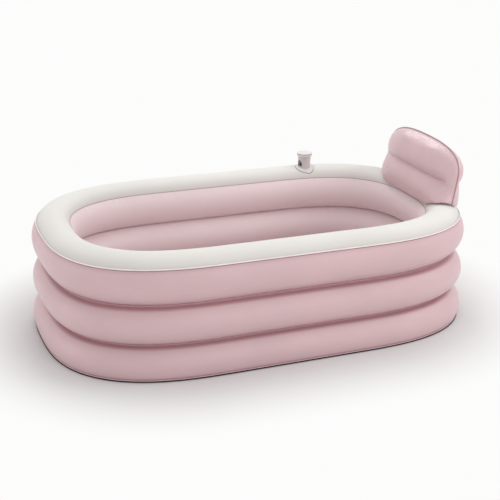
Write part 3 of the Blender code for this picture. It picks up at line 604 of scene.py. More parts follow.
footLip = {  # inset and height of the points of its section
    "rolledFrom": (-0.0196, 0.0050), "rolledTo": (-0.0190, 0.0080), "roll": 0.0008, "rollPoints": 7, "edgeAngle": 50,
    "flat": ((-0.010, 0.0081), (0.06, 0.0082), (0.094, 0.0080), (0.095, 0.0058), (0.094, 0.0035), (0.06, 0.0034),
             (-0.012, 0.0034)),
}


def makeFootLip():
    # The welded edge of the floor sheet: a flat lip with a rolled edge, pressed under the lowest ring
    rolled = arcPoints(footLip["rolledFrom"], footLip["rolledTo"], footLip["roll"], footLip["rollPoints"])
    piece = sweepPiece("footWeldLip", np.concatenate([rolled, footLip["flat"]]))
    smooth(piece, footLip["edgeAngle"])
    dress(piece, lipVinyl, "tub", ["base_weld_lip"])


makeFootLip()
# A thin dark bead in the crevice between lip and ring: painted shade
beadPiece("footCreviceShadeLine", -0.0193, 0.0089, 0.0010, 0.0008, shadeLineMauve)
# A near black bead at the floor line: painted contact shade under the lip
beadPiece("footContactShadeBead", -0.0180, 0.0030, 0.0042, 0.0029, footContactShade)
for node, material in (("base_sheet", litInnerVinyl), ("backrest_base_strip", patchVinyl), ("valve_seat", greyPlastic),
                       ("valve_diaphragm", darkRubber), ("valve_cap_seal", darkRubber), ("drain_seal", darkRubber)):
    cadNodes[node].data.materials.clear()
    cadNodes[node].data.materials.append(material)

# Air floor with lengthwise channels

floor = {
    "inset": 0.145, "drainBay": 0.15, "crest": 0.045, "valley": 0.022, "edge": 0.007, "channels": 7,
    "base": 0.0033, "endRound": 0.045, "across": 126, "along": 150, "fullness": 0.8, "sideShare": 0.999,
    "crowding": 0.5, "waves": (31, 43, 57, 71), "waveScale": 2.2, "swayScale": 37, "pucker": 0.0006, "seed": 5,
    "puckerFade": 4, "puckerStart": 20, "underside": 0.0002,
}


def floorLift(y, halfWidth):
    # Height of the channels, and how far each place lies from its nearest seam as a share of a channel
    place = (y / halfWidth + 1) / 2 * floor["channels"]
    last = floor["channels"] - 1
    channel = np.clip(np.floor(place), 0, last)
    share = place - channel
    left = np.where(channel == 0, floor["edge"], floor["valley"])
    right = np.where(channel == last, floor["edge"], floor["valley"])
    valley = left + (right - left) * share
    swell = (1 - (2 * share - 1) ** 2) ** floor["fullness"]
    return valley + (floor["crest"] - valley) * swell, np.minimum(share, 1 - share)


def makeFloorCushion():
    halfWidth = plan["halfWidth"] - floor["inset"]
    length = plan["halfLength"] - plan["straightHalf"] - floor["inset"]
    piece, along, across = gridPiece("airFloor", floor["along"], floor["across"])
    y = halfWidth * across * floor["sideShare"]
    bend = length * np.maximum(0, 1 - np.abs(y / halfWidth) ** plan["power"]) ** (1 / plan["power"])
    right = plan["straightHalf"] + bend
    left = floor["drainBay"] - right
    x = left + (right - left) * (crowd(along, floor["crowding"]) + 1) / 2
    lift, fromSeam = floorLift(y, halfWidth)
    ends = rounded(np.minimum(x - left, right - x), floor["endRound"])
    chance = np.random.default_rng(floor["seed"])
    gather = np.zeros(len(x))
    for wave in floor["waves"]:
        sway = 2 * np.sin(y * floor["swayScale"] + wave)
        gather += np.sin(x * wave * floor["waveScale"] + chance.random() * 6 + sway)
    nearSeam = np.clip(1 - fromSeam * floor["puckerFade"], 0, 1) ** 2 * np.clip(fromSeam * floor["puckerStart"], 0, 1)
    height = floor["edge"] + (lift - floor["edge"] + gather * floor["pucker"] * nearSeam) * ends
    moveVerts(piece, np.stack([x, y, floor["base"] + height], 1))
    with editing(piece):
        bpy.ops.mesh.extrude_region_move(TRANSFORM_OT_translate={"value": (0, 0, -0.0001)})
    points = readVerts(piece)
    chosen = np.array([vertex.select for vertex in piece.data.vertices])  # the extruded underside
    points[chosen, 2] = floor["base"] + floor["underside"]
    moveVerts(piece, points)
    faceOutward(piece)
    smooth(piece, softAngle)
    dress(piece, litInnerVinyl, "tub", ["floor_cushion"])


makeFloorCushion()
print("air floor made")

# Backrest pillow: column runs across it and row up it, both from -1 to 1

backrest = {
    "seamX": 0.704, "halfWidth": 0.257, "height": 0.196, "lean": math.radians(7), "groove": 0.076,
    "front": {"foot": 0.058, "waist": 0.036, "lowerBulge": 0.014, "upper": 0.055, "sideRound": 0.15,
              "topRound": 0.044, "grooveEnd": 0.203},
    "back": {"foot": 0.028, "waist": 0.029, "lowerBulge": 0.013, "upper": 0.044, "sideRound": 0.045,
             "topRound": 0.045, "grooveEnd": 0.6},
    "footRound": 0.006, "footSide": 0.22, "farFootSide": 0.55, "farRound": 0.035, "footSpread": 0.06,
    "footDrop": 0.030, "footLevel": crestLevel + 0.0029, "footPower": 30, "cornerPower": 2.7,
    "flare": 0.011, "flareHeight": 0.055, "wrap": 0.010, "wrapHeight": 0.08, "grooveFade": 0.035,
    "dimple": (-0.196, 0.042, 0.024, 0.0065), "upperEnd": 0.9, "upperSkew": 0.55, "upperFullness": 0.75,
    "bend": (0.003, 0.07), "turnStart": math.radians(6), "turnSpan": math.radians(32),
    "columns": 96, "rows": 84, "columnCrowding": 0.85, "rowCrowding": 0.9, "outlineSteps": 300,
}


def backrestPlace(column, row):
    # Place across and up, distance from the outline, how far round to the top, and distance from the foot
    half = backrest["height"] / 2
    reach = np.maximum(np.abs(column), np.abs(row))
    direction = np.arctan2(row * half, column * backrest["halfWidth"])
    power = np.where(np.sin(direction) > 0, backrest["cornerPower"], backrest["footPower"])
    edge = ellipseReach(direction, backrest["halfWidth"], half, power)
    y = reach * edge * np.cos(direction)
    height = half + reach * edge * np.sin(direction)
    distance = np.where(row < 0, (1 - np.abs(column)) * backrest["halfWidth"], (1 - reach) * edge)
    rise = np.arctan2(np.sin(direction), np.abs(np.cos(direction)))
    topward = eased((rise - backrest["turnStart"]) / backrest["turnSpan"])
    return y, height, distance, topward, (1 + row) * half


def backrestDepth(y, height, distance, form, topward, foot):
    groove = backrest["groove"]
    lower = form["foot"] + (form["waist"] - form["foot"]) * height / groove
    lower = lower + form["lowerBulge"] * np.sin(math.pi * np.clip(height / groove, 0, 1))
    share = np.clip((height - groove) / (backrest["height"] - groove), 0, 1)
    turn = np.minimum(share / backrest["upperEnd"], 1) ** backrest["upperSkew"]
    swell = np.clip(np.sin(math.pi * turn), 0, 1) ** backrest["upperFullness"]
    upper = form["waist"] + (form["upper"] - form["waist"]) * swell
    lobe = np.where(height < groove, lower, upper)
    without = ((form["foot"] + form["waist"]) / 2 + form["lowerBulge"] + form["upper"]) / 2  # past the groove's end
    fade = eased((-form["grooveEnd"] - y) / backrest["grooveFade"])
    near = eased(1 - 2 * np.abs(height - groove) / groove)
    lobe = lobe + (without - lobe) * fade * near
    across, up, reach, sink = backrest["dimple"]
    lobe = lobe - sink * np.exp(-((y - across) ** 2 + (height - up) ** 2) / reach ** 2)
    far = eased(y / backrest["halfWidth"])
    low = backrest["footSide"] + (backrest["farFootSide"] - backrest["footSide"]) * far
    side = low + (1 - low) * eased(height / backrest["footSpread"])
    corner = (form["sideRound"] + backrest["farRound"] * far) * side
    corner = corner + (form["topRound"] - corner) * topward
    return lobe * rounded(distance, corner) * rounded(foot, backrest["footRound"])


def backrestPoint(y, height, depth):
    tilt = math.tan(backrest["lean"])
    near = np.clip(-y / backrest["halfWidth"], 0, 1)
    y = y - backrest["flare"] * near ** 3 * np.clip(1 - height / backrest["flareHeight"], 0, 1) ** 2
    depth = depth + backrest["wrap"] * near ** 4 * np.clip(1 - height / backrest["wrapHeight"], 0, 1) ** 2
    x = backrest["seamX"] + height * tilt - depth
    below = crownLevel(np.clip(insetAt(x, y), 0, coverWidth))
    drop = np.minimum(crestLevel - below, backrest["footDrop"])
    level = height - drop * eased(1 - height / backrest["groove"])
    return np.stack([backrest["seamX"] + level * tilt - depth, y, backrest["footLevel"] + level], -1)


air = {
    "slack": 0.002, "slackStart": 0.02, "voxel": 0.0045, "pressure": 4.0, "cap": 0.0045, "heldReach": 0.0055,
    "frames": 20, "stiffness": 15, "smoothing": 4, "evening": 60, "merge": 0.0002,
    "seamPlaces": 400, "footPlaces": 240, "footRoom": 0.004, "footShare": 0.1, "footRows": (1, 0.8, 0.6, 0.4, 0.2, 0),
}


def makePanel(name, side, form):
    piece, column, row = gridPiece(name, backrest["columns"], backrest["rows"])
    column, row = crowd(column, backrest["columnCrowding"]), crowd(row, backrest["rowCrowding"])
    grooveRow = backrest["groove"] / (backrest["height"] / 2) - 1
    rows = np.unique(np.round(row, 5))
    closest = rows[np.argmin(np.abs(rows - grooveRow))]
    row = np.where(np.abs(row - closest) < 1e-4, grooveRow, row)  # one row of points lies in the groove
    y, height, distance, topward, foot = backrestPlace(column, row)
    depth = backrestDepth(y, height, distance, form, topward, foot)
    slack = air["slack"] * np.clip(depth / air["slackStart"], 0, 1)
    moveVerts(piece, backrestPoint(y, height, side * (depth - slack)))
    return piece


def backrestOutline(count):
    # Even places up one side, over the top and down the other
    steps = backrest["outlineSteps"]
    rise, ones = np.linspace(-1, 1, steps), np.ones(steps)
    column = np.concatenate([ones, rise[::-1][1:], -ones[1:]])
    row = np.concatenate([rise, ones[1:], rise[::-1][1:]])
    y, height = backrestPlace(column, row)[:2]
    along = np.concatenate([[0], np.cumsum(np.hypot(np.diff(y), np.diff(height)))])
    wanted = np.linspace(0, along[-1], count)
    return np.interp(wanted, along, y), np.interp(wanted, along, height)


def heldPlaces():
    # The welds that hold the skin while it fills: the grooves, the side and top seam and the foot
    y, height = backrestOutline(air["seamPlaces"])
    places = [backrestPoint(y, height, np.zeros(len(y)))]
    across = np.linspace(-1, 1, air["footPlaces"]) * (backrest["halfWidth"] - air["footRoom"])
    inside = backrest["halfWidth"] - np.abs(across)
    for side, form in ((1, backrest["front"]), (-1, backrest["back"])):
        kept = across > -form["grooveEnd"]
        level = np.full(kept.sum(), backrest["groove"])
        depth = backrestDepth(across[kept], level, inside[kept], form, 0, level)
        places.append(backrestPoint(across[kept], level, side * depth))
        level = np.full(len(across), backrest["footRound"])
        depth = backrestDepth(across, level, inside, form, 0, level)
        for share in air["footRows"]:
            places.append(backrestPoint(across, level * air["footShare"], side * depth * share))
    return np.concatenate(places)


def blowUp(piece, pinned):
    # Cloth under pressure, held at its welds
    group = piece.vertex_groups.new(name="welds")
    group.add([int(index) for index in np.flatnonzero(pinned)], 1.0, "REPLACE")
    cloth = piece.modifiers.new("air", "CLOTH")
    cloth.settings.use_pressure = True
    cloth.settings.uniform_pressure_force = air["pressure"]
    cloth.settings.effector_weights.gravity = 0
    cloth.settings.vertex_group_mass = group.name
    cloth.settings.tension_stiffness = cloth.settings.compression_stiffness = air["stiffness"]
    cloth.point_cache.frame_end = air["frames"]
    for frameNumber in range(1, air["frames"] + 1):
        bpy.context.scene.frame_set(frameNumber)
    applyAll(piece)
    bpy.context.scene.frame_set(1)
    piece.vertex_groups.clear()


def inflate(piece):
    # Of the cloth only the swelling is kept: outward, capped and evened out, without its chance crinkles
    pick(piece)
    piece.data.remesh_voxel_size = air["voxel"]
    bpy.ops.object.voxel_remesh()
    held = heldPlaces()
    tree = KDTree(len(held))
    for index, place in enumerate(held):
        tree.insert(place, index)
    tree.balance()
    start = readVerts(piece)
    normals = readValues(piece.data.vertex_normals, "vector", 3)
    pinned = np.array([tree.find(place)[2] for place in start]) < air["heldReach"]
    blowUp(piece, pinned)
    swell = np.clip(((readVerts(piece) - start) * normals).sum(1), 0, air["cap"])
    swell[pinned] = 0
    first, second = readValues(piece.data.edges, "vertices", 2, np.int32).T
    count = len(start)
    links = np.bincount(first, minlength=count) + np.bincount(second, minlength=count)
    for _ in range(air["evening"]):
        around = (np.bincount(first, swell[second], count) + np.bincount(second, swell[first], count)) / links
        swell = np.where(pinned, 0, (swell + around) / 2)
    print("air swelled", count, "points by up to", round(float(swell.max()) * 1000, 1), "mm, mean",
          round(float(swell.mean()) * 1000, 2))
    moveVerts(piece, start + normals * swell[:, None])
    with editing(piece):
        bpy.ops.mesh.vertices_smooth(factor=0.5, repeat=air["smoothing"])
    skin = piece.modifiers.new("skin", "SUBSURF")
    skin.levels = skin.render_levels = 1
    applyAll(piece)


def bendFoot(piece):
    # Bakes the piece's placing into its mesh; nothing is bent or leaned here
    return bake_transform(piece)


def makePillow():
    front = makePanel("backrestPillow", 1, backrest["front"])
    joinInto(front, makePanel("backrestBack", -1, backrest["back"]))
    closeUp(front, air["merge"])
    inflate(front)
    smooth(front, 180)
    dress(front, backrestVinyl, None, ["backrest_front_panel", "backrest_back_panel"])
    bendFoot(front)


fin = {"root": -0.0015, "wide": 0.0042, "taper": 0.7, "half": 0.0007, "count": 220, "edgeAngle": 50}


def makeBackrestSeam():
    # The welded fin that stands out round the sides and the top
    y, height = backrestOutline(fin["count"])
    normal = np.stack([np.gradient(height), -np.gradient(y)])
    normal /= np.hypot(*normal)
    shoulder = fin["wide"] * fin["taper"]
    section = np.array([(fin["root"], fin["half"]), (shoulder, fin["half"]), (fin["wide"], 0),
                        (shoulder, -fin["half"]), (fin["root"], -fin["half"])])
    piece, step, corner = stripGrid("backrestSeamFin", len(y) - 1, len(section))
    reach, depth = section[corner].T
    out, up = normal[:, step] * reach
    moveVerts(piece, backrestPoint(y[step] + out, np.maximum(height[step] + up, 0), depth))
    closeUp(piece, holes=8)
    smooth(piece, fin["edgeAngle"])
    bendFoot(dress(piece, seamWeld, None, ["backrest_welt"]))


footShadeCord = {"lift": 0.0016, "wide": 0.0011, "proud": 0.0002, "count": 160, "endRoom": 0.002, "sides": 8}


def makeBackrestFootShade():
    # A thin dark cord along the front foot that follows the lobe: painted shade where the pillow meets the rim
    y = np.linspace(-1, 1, footShadeCord["count"]) * (backrest["halfWidth"] - footShadeCord["endRoom"])
    height = np.full(len(y), footShadeCord["lift"])
    depth = backrestDepth(y, height, backrest["halfWidth"] - np.abs(y), backrest["front"], 0, height)
    middle = backrestPoint(y, height, depth + footShadeCord["proud"])
    along = np.gradient(middle, axis=0)
    sideways = np.stack([along[:, 1], -along[:, 0], np.zeros(len(y))], 1)
    sideways /= np.linalg.norm(sideways, axis=1, keepdims=True)
    piece, step, corner = stripGrid("backrestFootShadeLine", len(y) - 1, footShadeCord["sides"])
    angle = corner * fullTurn / footShadeCord["sides"]
    points = middle[step] + sideways[step] * (np.cos(angle) * footShadeCord["wide"])[:, None]
    points[:, 2] += np.sin(angle) * footShadeCord["wide"]
    moveVerts(piece, points)
    closeUp(piece, holes=10)
    smooth(piece, softAngle)
    dress(piece, shadeLineMauve, "tub")


makePillow()
makeBackrestSeam()
makeBackrestFootShade()
print("backrest made")

# Rim valve

valve = {
    "angle": math.radians(68.7), "inset": 0.068, "length": 0.076, "width": 0.069, "thickness": 0.0025,
    "lift": 0.0005, "power": 3, "hole": 0.0155, "flangeAngle": 45,
    "footRadius": 0.024, "shoulderRadius": 0.0262, "bore": 0.016, "port": 0.0135, "neck": 0.0215,
    "shoulder": 0.044, "neckLength": 0.0085, "ledge": 0.016, "steps": 96, "threads": 2, "pitch": 0.003,
    "capRadius": 0.0307, "capHeight": 0.0145, "gasket": 0.0018,
    "recessAngle": math.radians(192), "recessHalf": 0.0125, "recessFoot": 0.0035, "recessTop": 0.030,
    "recessDepth": 0.0042, "recessHole": 0.0045, "archSteps": 25,
}


def valvePlace():
    x, y = planPoint(plan["straightHalf"], valve["angle"], valve["inset"])
    level = float(crownLevel(valve["inset"]))
    return Matrix.Translation((x, y, level)) @ Matrix.Rotation(valve["angle"] - math.pi / 2, 4, "Z")


valveSeat = valvePlace()
# Local Z points out of the recess and local Y up
recessPlace = facing(valveSeat.translation, (math.cos(valve["recessAngle"]), math.sin(valve["recessAngle"]), 0))
recessMiddle = (valve["recessFoot"] + valve["recessTop"]) / 2
recessBack = valve["footRadius"] - valve["recessDepth"]


def crownDrop(x, y):
    # How far the crown lies below the valve's seat, at places in the valve's own X and Y
    turn = np.array(valveSeat.to_3x3())
    worldX = turn[0, 0] * x + turn[0, 1] * y + valveSeat.translation.x
    worldY = turn[1, 0] * x + turn[1, 1] * y + valveSeat.translation.y
    return crownLevel(valve["inset"]) - crownLevel(insetAt(worldX, worldY))


def spunPiece(name, profile, steps, placing=None):
    # A circle primitive laid on the profile's points and spun about its own Z
    piece = begin(name, bpy.ops.mesh.primitive_circle_add, vertices=len(profile), radius=0.01, fill_type="NOTHING")
    moveVerts(piece, [(radius, 0, height) for radius, height in profile])
    with editing(piece):
        bpy.ops.mesh.spin(steps=steps, angle=fullTurn, center=(0, 0, 0), axis=(0, 0, 1))
        bpy.ops.mesh.select_all(action="SELECT")
        bpy.ops.mesh.remove_doubles(threshold=2 * tiny)
        bpy.ops.mesh.dissolve_degenerate(threshold=tiny)
        bpy.ops.mesh.select_all(action="SELECT")
        bpy.ops.mesh.normals_make_consistent(inside=False)
    if placing is not None:
        placeOn(piece, placing)
    smooth(piece)
    return piece


def flangeRing(name, rows, material, stands=()):
    # Each row is a share of the way from the hole to the edge, and a height above the crown
    angle = np.linspace(0, fullTurn, valve["steps"], endpoint=False)
    edge = ellipseReach(angle, valve["length"] / 2, valve["width"] / 2, valve["power"])
    piece = begin(name, bpy.ops.mesh.primitive_torus_add, major_segments=len(angle), minor_segments=len(rows),
                  major_radius=0.03, minor_radius=0.005)
    share, height = np.array(rows).T
    reach = valve["hole"] + np.outer(edge - valve["hole"], share)
    x, y = reach * np.cos(angle)[:, None], reach * np.sin(angle)[:, None]
    moveVerts(piece, np.stack([x, y, height + valve["lift"] - crownDrop(x, y)], -1))
    placeOn(piece, valveSeat)
    faceOutward(piece)
    smooth(piece, valve["flangeAngle"])
    dress(piece, material, "tub", stands)


def makeValveFlange():
    top = valve["thickness"]
    bead = top * 1.06
    rows = [(1.0, top * 0.45), (0.992, top * 0.85), (0.97, top), (0.93, top), (0.91, bead), (0.88, bead),
            (0.86, top), (0.7, top), (0.5, top), (0.3, top), (0.0, top), (0.0, 0), (0.4, 0), (0.7, 0),
            (0.97, 0), (0.995, top * 0.15)]
    flangeRing("valveFlange", rows, flangePlastic, ["valve_flange"])
    line = [(1.035, 0.0003), (1.03, 0.0009), (1.01, 0.0012), (0.985, 0.0009), (0.985, 0.0002)]
    flangeRing("valveFlangeLine", line, shadowLine)


def archSlab(name, room, thickness, insets=()):
    # Arched slab at the back of the recess, with room all round, and insets stepped into its face
    half, foot = valve["recessHalf"] - room, valve["recessFoot"] + room
    angle = np.linspace(0, math.pi, valve["archSteps"])
    x = np.concatenate([(-half, half), half * np.cos(angle)])
    y = np.concatenate([(foot, foot), valve["recessTop"] - valve["recessHalf"] + half * np.sin(angle)])
    piece = begin(name, bpy.ops.mesh.primitive_circle_add, vertices=len(x), radius=0.01, fill_type="NGON")
    moveVerts(piece, np.stack([x, y, np.full(len(x), recessBack + room)], 1))
    with editing(piece):
        bpy.ops.mesh.extrude_region_move(TRANSFORM_OT_translate={"value": (0, 0, thickness)})
        for width, depth in insets:
            bpy.ops.mesh.inset(thickness=width, depth=depth)
        bpy.ops.mesh.select_all(action="SELECT")
        bpy.ops.mesh.normals_make_consistent(inside=False)
    return piece


def cutBy(piece, cutter):
    boolean = piece.modifiers.new("cut", "BOOLEAN")
    boolean.operation = "DIFFERENCE"
    boolean.solver = "EXACT"
    boolean.object = cutter
    applyAll(piece)
    bpy.data.objects.remove(cutter, do_unlink=True)


def makeValveStem():
    foot, shoulder, neck, bore = (valve[key] for key in ("footRadius", "shoulder", "neck", "bore"))
    top = shoulder + valve["neckLength"]
    flare, low = 0.0022, 0.003  # the wall widens from low on its way up to the shoulder
    profile = [(foot, 0), (foot + 0.0002, low)]
    profile += [(foot + flare * share, low + (shoulder - low) * share) for share in (0.33, 0.66, 0.94)]
    profile += [(valve["shoulderRadius"], shoulder - 0.0012), (valve["shoulderRadius"] - 0.0006, shoulder),
                (neck, shoulder)]
    for turn in range(valve["threads"]):  # thread rings on the neck
        level = shoulder + 0.0012 + turn * valve["pitch"]
        profile += [(neck - 0.0004, level), (neck - 0.0004, level + 0.0008), (neck, level + 0.0014),
                    (neck, level + 0.0018)]
    profile += [(neck, top - 0.0006), (neck - 0.0006, top), (bore + 0.0006, top), (bore, top - 0.0006),
                (bore, valve["ledge"]), (valve["port"], valve["ledge"]), (valve["port"], 0)]
    piece = spunPiece("valveStem", profile, valve["steps"])
    points = readVerts(piece)
    atFoot = np.abs(points[:, 2]) < 1e-6
    onFlange = valve["lift"] + valve["thickness"] + 0.0002
    points[atFoot, 2] = onFlange - crownDrop(points[atFoot, 0], points[atFoot, 1])
    moveVerts(piece, points)
    placeOn(piece, valveSeat)
    cutter = archSlab("archCutter", 0, 0.012)
    placeOn(cutter, recessPlace)
    cutBy(piece, cutter)
    drill = begin("recessDrill", bpy.ops.mesh.primitive_cylinder_add, vertices=32, radius=valve["recessHole"],
                  depth=0.03)
    placeOn(drill, recessPlace @ Matrix.Translation((0, recessMiddle, 0.02)))
    cutBy(piece, drill)
    smooth(piece)
    dress(piece, stemPlastic, "tub", ["valve_stem"])


sidePlug = {"room": 0.0003, "thickness": 0.0027, "rim": ((0.0018, 0), (0.0006, -0.0010)), "edge": 0.0003,
            "tab": (0.003, 0.011, 0.0038), "tabLift": 0.0032, "tabEdge": 0.0009,
            "knobPlace": (0.0030, 0.0088, 0.0012)}


def makeSidePlug():
    # A rubber plug with an arched face, a rim and a small pull tab
    back = recessBack + sidePlug["room"]
    piece = archSlab("valveSidePlug", sidePlug["room"], sidePlug["thickness"], sidePlug["rim"])
    roundEdges(piece, sidePlug["edge"])
    tab = begin("sidePlugTab", bpy.ops.mesh.primitive_cube_add, size=1,
                location=(0, recessMiddle, back + sidePlug["tabLift"]))
    settle(tab, sidePlug["tab"])
    roundEdges(tab, sidePlug["tabEdge"], 3)
    nose = spunPiece("sidePlugNose", [(tiny, back - 0.0035), (0.0040, back - 0.0035), (0.0042, back - 0.003),
                                      (0.0042, back + 0.001), (tiny, back + 0.001)], 32)
    placeOn(nose, Matrix.Translation((0, recessMiddle, 0)))
    joinInto(piece, tab, nose)
    placeOn(piece, recessPlace)
    smooth(piece)
    dress(piece, plugRubber, "side_plug", ["valve_side_plug"])
    knob = spunPiece("sidePlugKnob", [(tiny, 0), (0.0058, 0), (0.0062, 0.0004), (0.0062, 0.0022), (0.0056, 0.0028),
                                      (tiny, 0.0028)], 40)
    across, up, out = sidePlug["knobPlace"]
    placeOn(knob, recessPlace @ Matrix.Translation((across, valve["recessFoot"] + up, back + out)))
    dress(knob, darkRubber, "side_plug")


def makeValveCap():
    foot = valve["shoulder"] + 0.0003
    top = foot + valve["capHeight"]
    radius, thread = valve["capRadius"], valve["neck"] + 0.0003
    roof = valve["shoulder"] + valve["neckLength"] + 0.0006 + valve["gasket"]
    fromTop = [(0.0070, 0.0002), (0.0064, 0.0002), (0.0056, 0), (0.0020, 0), (0.0011, 0.0003), (0.0004, 0.0010),
               (0.0002, 0.0019), (0.0005, 0.0026), (0.0022, 0.0028), (0.0022, 0.0044), (0.0005, 0.0046), (0, 0.0053)]
    fromFoot = [(0, 0.0028), (0.0003, 0.0018), (0.0018, 0.0008), (0.0031, 0)]
    profile = [(tiny, top - 0.0002), *((radius - inward, top - down) for inward, down in fromTop),
               *((radius - inward, foot + up) for inward, up in fromFoot),
               (thread + 0.0004, foot), (thread, foot + 0.0005), (thread, roof), (tiny, roof)]
    cap = spunPiece("valveCap", profile, valve["steps"], valveSeat)
    dress(cap, fittingPlastic, "cap", ["valve_cap"])
    inGroove = [(0.0026, 0.0030), (0.0012, 0.0030), (0.0009, 0.0036), (0.0012, 0.0042), (0.0026, 0.0042)]
    line = spunPiece("valveCapLine", [(radius - inward, top - down) for inward, down in inGroove], valve["steps"],
                     valveSeat)
    dress(line, shadowLine, "cap")


makeValveFlange()
makeValveStem()
makeSidePlug()
makeValveCap()
print("rim valve made")

# Chamber valves and stoppers, with their seats

smallValve = {
    "flange": 0.013, "thickness": 0.0016, "neck": 0.0085, "neckHeight": 0.0105, "bore": 0.0058, "floor": 0.0028,
    "head": 0.0095, "headHeight": 0.0022, "shank": 0.0062, "gap": 0.0003, "steps": 48,
}


def makeSmallValve(prefix, node, placing, body, plugBody):
    flange, thickness, neck, bore, gap, head = (
        smallValve[key] for key in ("flange", "thickness", "neck", "bore", "gap", "head"))
    top = thickness + smallValve["neckHeight"]
    profile = [(tiny, 0), (flange, 0), (flange, thickness * 0.4), (flange - 0.0006, thickness * 0.6),
               (neck + 0.0012, thickness), (neck + 0.0003, thickness + 0.0006), (neck, thickness + 0.0014),
               (neck, top - 0.002), (neck + 0.0002, top - 0.0014), (neck + 0.0002, top - 0.0004),
               (neck - 0.0003, top), (bore + 0.0003, top), (bore, top - 0.0004),
               (bore, smallValve["floor"]), (tiny, smallValve["floor"])]
    seat = spunPiece(prefix + "ValveBody", profile, smallValve["steps"], placing)
    dress(seat, clearVinyl, body, [node + "_valve"])
    low = top + gap
    top = low + smallValve["headHeight"]
    end, shank = low - smallValve["shank"], bore - gap
    profile = [(tiny, end), (shank - 0.0006, end), (shank, end + 0.0008), (shank, low - 0.003),
               (shank - 0.0004, low - 0.0022), (shank, low), (head - 0.0004, low), (head, low + 0.0005),
               (head, top - 0.0006), (head - 0.0007, top), (0.0032, top), (0.0026, top + 0.0006),
               (0.0019, top + 0.0028), (0.0012, top + 0.0034), (tiny, top + 0.0035)]
    plug = spunPiece(prefix + "Stopper", profile, smallValve["steps"], placing)
    dress(plug, clearVinyl, plugBody, [node + "_stopper"])


for side in ("lower", "middle"):
    low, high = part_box(side + "_ring_valve")
    makeSmallValve(side + "Ring", side + "_ring",
                   facing(((low.x + high.x) / 2, low.y, (low.z + high.z) / 2), (0, 1, 0)), "tub", side + "_stopper")
low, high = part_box("floor_valve")
makeSmallValve("floor", "floor", facing(((low.x + high.x) / 2, (low.y + high.y) / 2, low.z), (0, 0, 1)), "tub",
               "floor_plug")
backrestSeat = {"point": (0.76507, 0, 0.55517), "outward": (0.99411, 0, -0.1084)}
makeSmallValve("backrest", "backrest", facing(backrestSeat["point"], backrestSeat["outward"]), "backrest",
               "backrest_plug")
print("chamber valves made")

# Drain in the floor sheet

drain = {
    "x": -0.562, "bore": 0.0165, "spigot": 0.0195, "flange": 0.030, "deck": 0.0061, "steps": 96, "sheetTop": 0.0033,
    "plugLift": 0.0020, "plugHeight": 0.0030, "plugDepth": 0.0045, "gap": 0.0003,
    "grip": (0.004, 0.028, 0.0132), "gripLift": 0.0054, "gripHeight": 0.012, "gripTaper": 0.28, "gripEdge": 0.0012,
}


def makeDrain():
    place = Matrix.Translation((drain["x"], 0, 0))
    bore, spigot, flange, deck, sheet = (drain[key] for key in ("bore", "spigot", "flange", "deck", "sheetTop"))
    body = spunPiece("drainBody", [
        (bore, 0.0003), (spigot, 0.0003), (spigot, sheet), (flange, sheet),
        (flange, 0.0042), (flange - 0.0005, 0.0048), (flange - 0.0022, deck), (bore + 0.008, deck),
        (bore + 0.0072, deck - 0.0004), (bore + 0.0064, deck), (bore + 0.0004, deck), (bore, deck - 0.0004),
    ], drain["steps"], place)
    dress(body, fittingPlastic, "tub", ["drain_body"])
    low = deck + drain["plugLift"]
    top = low + drain["plugHeight"]
    end, shank = deck - drain["plugDepth"], bore - drain["gap"]
    plug = spunPiece("drainPlug", [
        (tiny, end), (shank - 0.0006, end), (shank, end + 0.0006), (shank, low),
        (0.0219, low), (0.0225, low + 0.0005), (0.0225, low + 0.0014), (0.0219, top - 0.0006), (0.0208, top),
        (0.0168, top), (0.0160, top - 0.0006), (tiny, top - 0.0006),
    ], drain["steps"], place)
    grip = begin("drainGrip", bpy.ops.mesh.primitive_cube_add, size=1,
                 location=(drain["x"], 0, top + drain["gripLift"]))
    settle(grip, drain["grip"])
    with editing(grip):
        bpy.ops.mesh.subdivide(number_cuts=3)
    points = readVerts(grip)
    points[:, 1] *= 1 - drain["gripTaper"] * np.clip((points[:, 2] - top) / drain["gripHeight"], 0, 1) ** 2
    moveVerts(grip, points)
    roundEdges(grip, drain["gripEdge"], 3, 40)
    joinInto(plug, grip)
    smooth(plug)
    dress(plug, fittingPlastic, "drain_stopper", ["drain_plug"])


makeDrain()
print("drain made")

# Ground, light and camera

studio = {
    "shadedFloorColour": (0.71, 0.70, 0.695), "farColour": (0.975, 0.975, 0.97), "spine": 0.33, "nearEdge": 0.47,
    "farEdge": 0.86, "worldStrength": 0.74, "backdropSize": 40, "aim": (0, 0, 0.2),
}
lamps = {  # place, size and power of each soft lamp
    "softTop": ((0.1, 0.4, 3.2), 1.0, 5),
    "sideKey": ((2.7, -1.2, 2.5), 1.5, 28),
    "frontFill": ((1.0, -3.5, 2.0), 2.2, 17.5),
    "lowFill": ((0.7, -3.2, 0.6), 1.6, 3.5),
    "endFill": ((-3.1, 0.5, 0.85), 1.8, 11.5),
    "backFill": ((0.45, 3.0, 3.4), 1.9, 44),
}
photoCamera = {
    "azimuth": math.radians(-22.1), "elevation": math.radians(20.876), "roll": math.radians(1.0926),
    "aim": (-0.1205, -0.289, 0.3663), "distance": 3.7398, "lens": 77.91, "sensor": 36,
}


def blendShaders(tree, share, first, second, output):
    mix = addNode(tree, "MixShader", {"Fac": share, 1: first, 2: second})
    setInputs(tree, tree.nodes[output], {"Surface": mix.outputs["Shader"]})


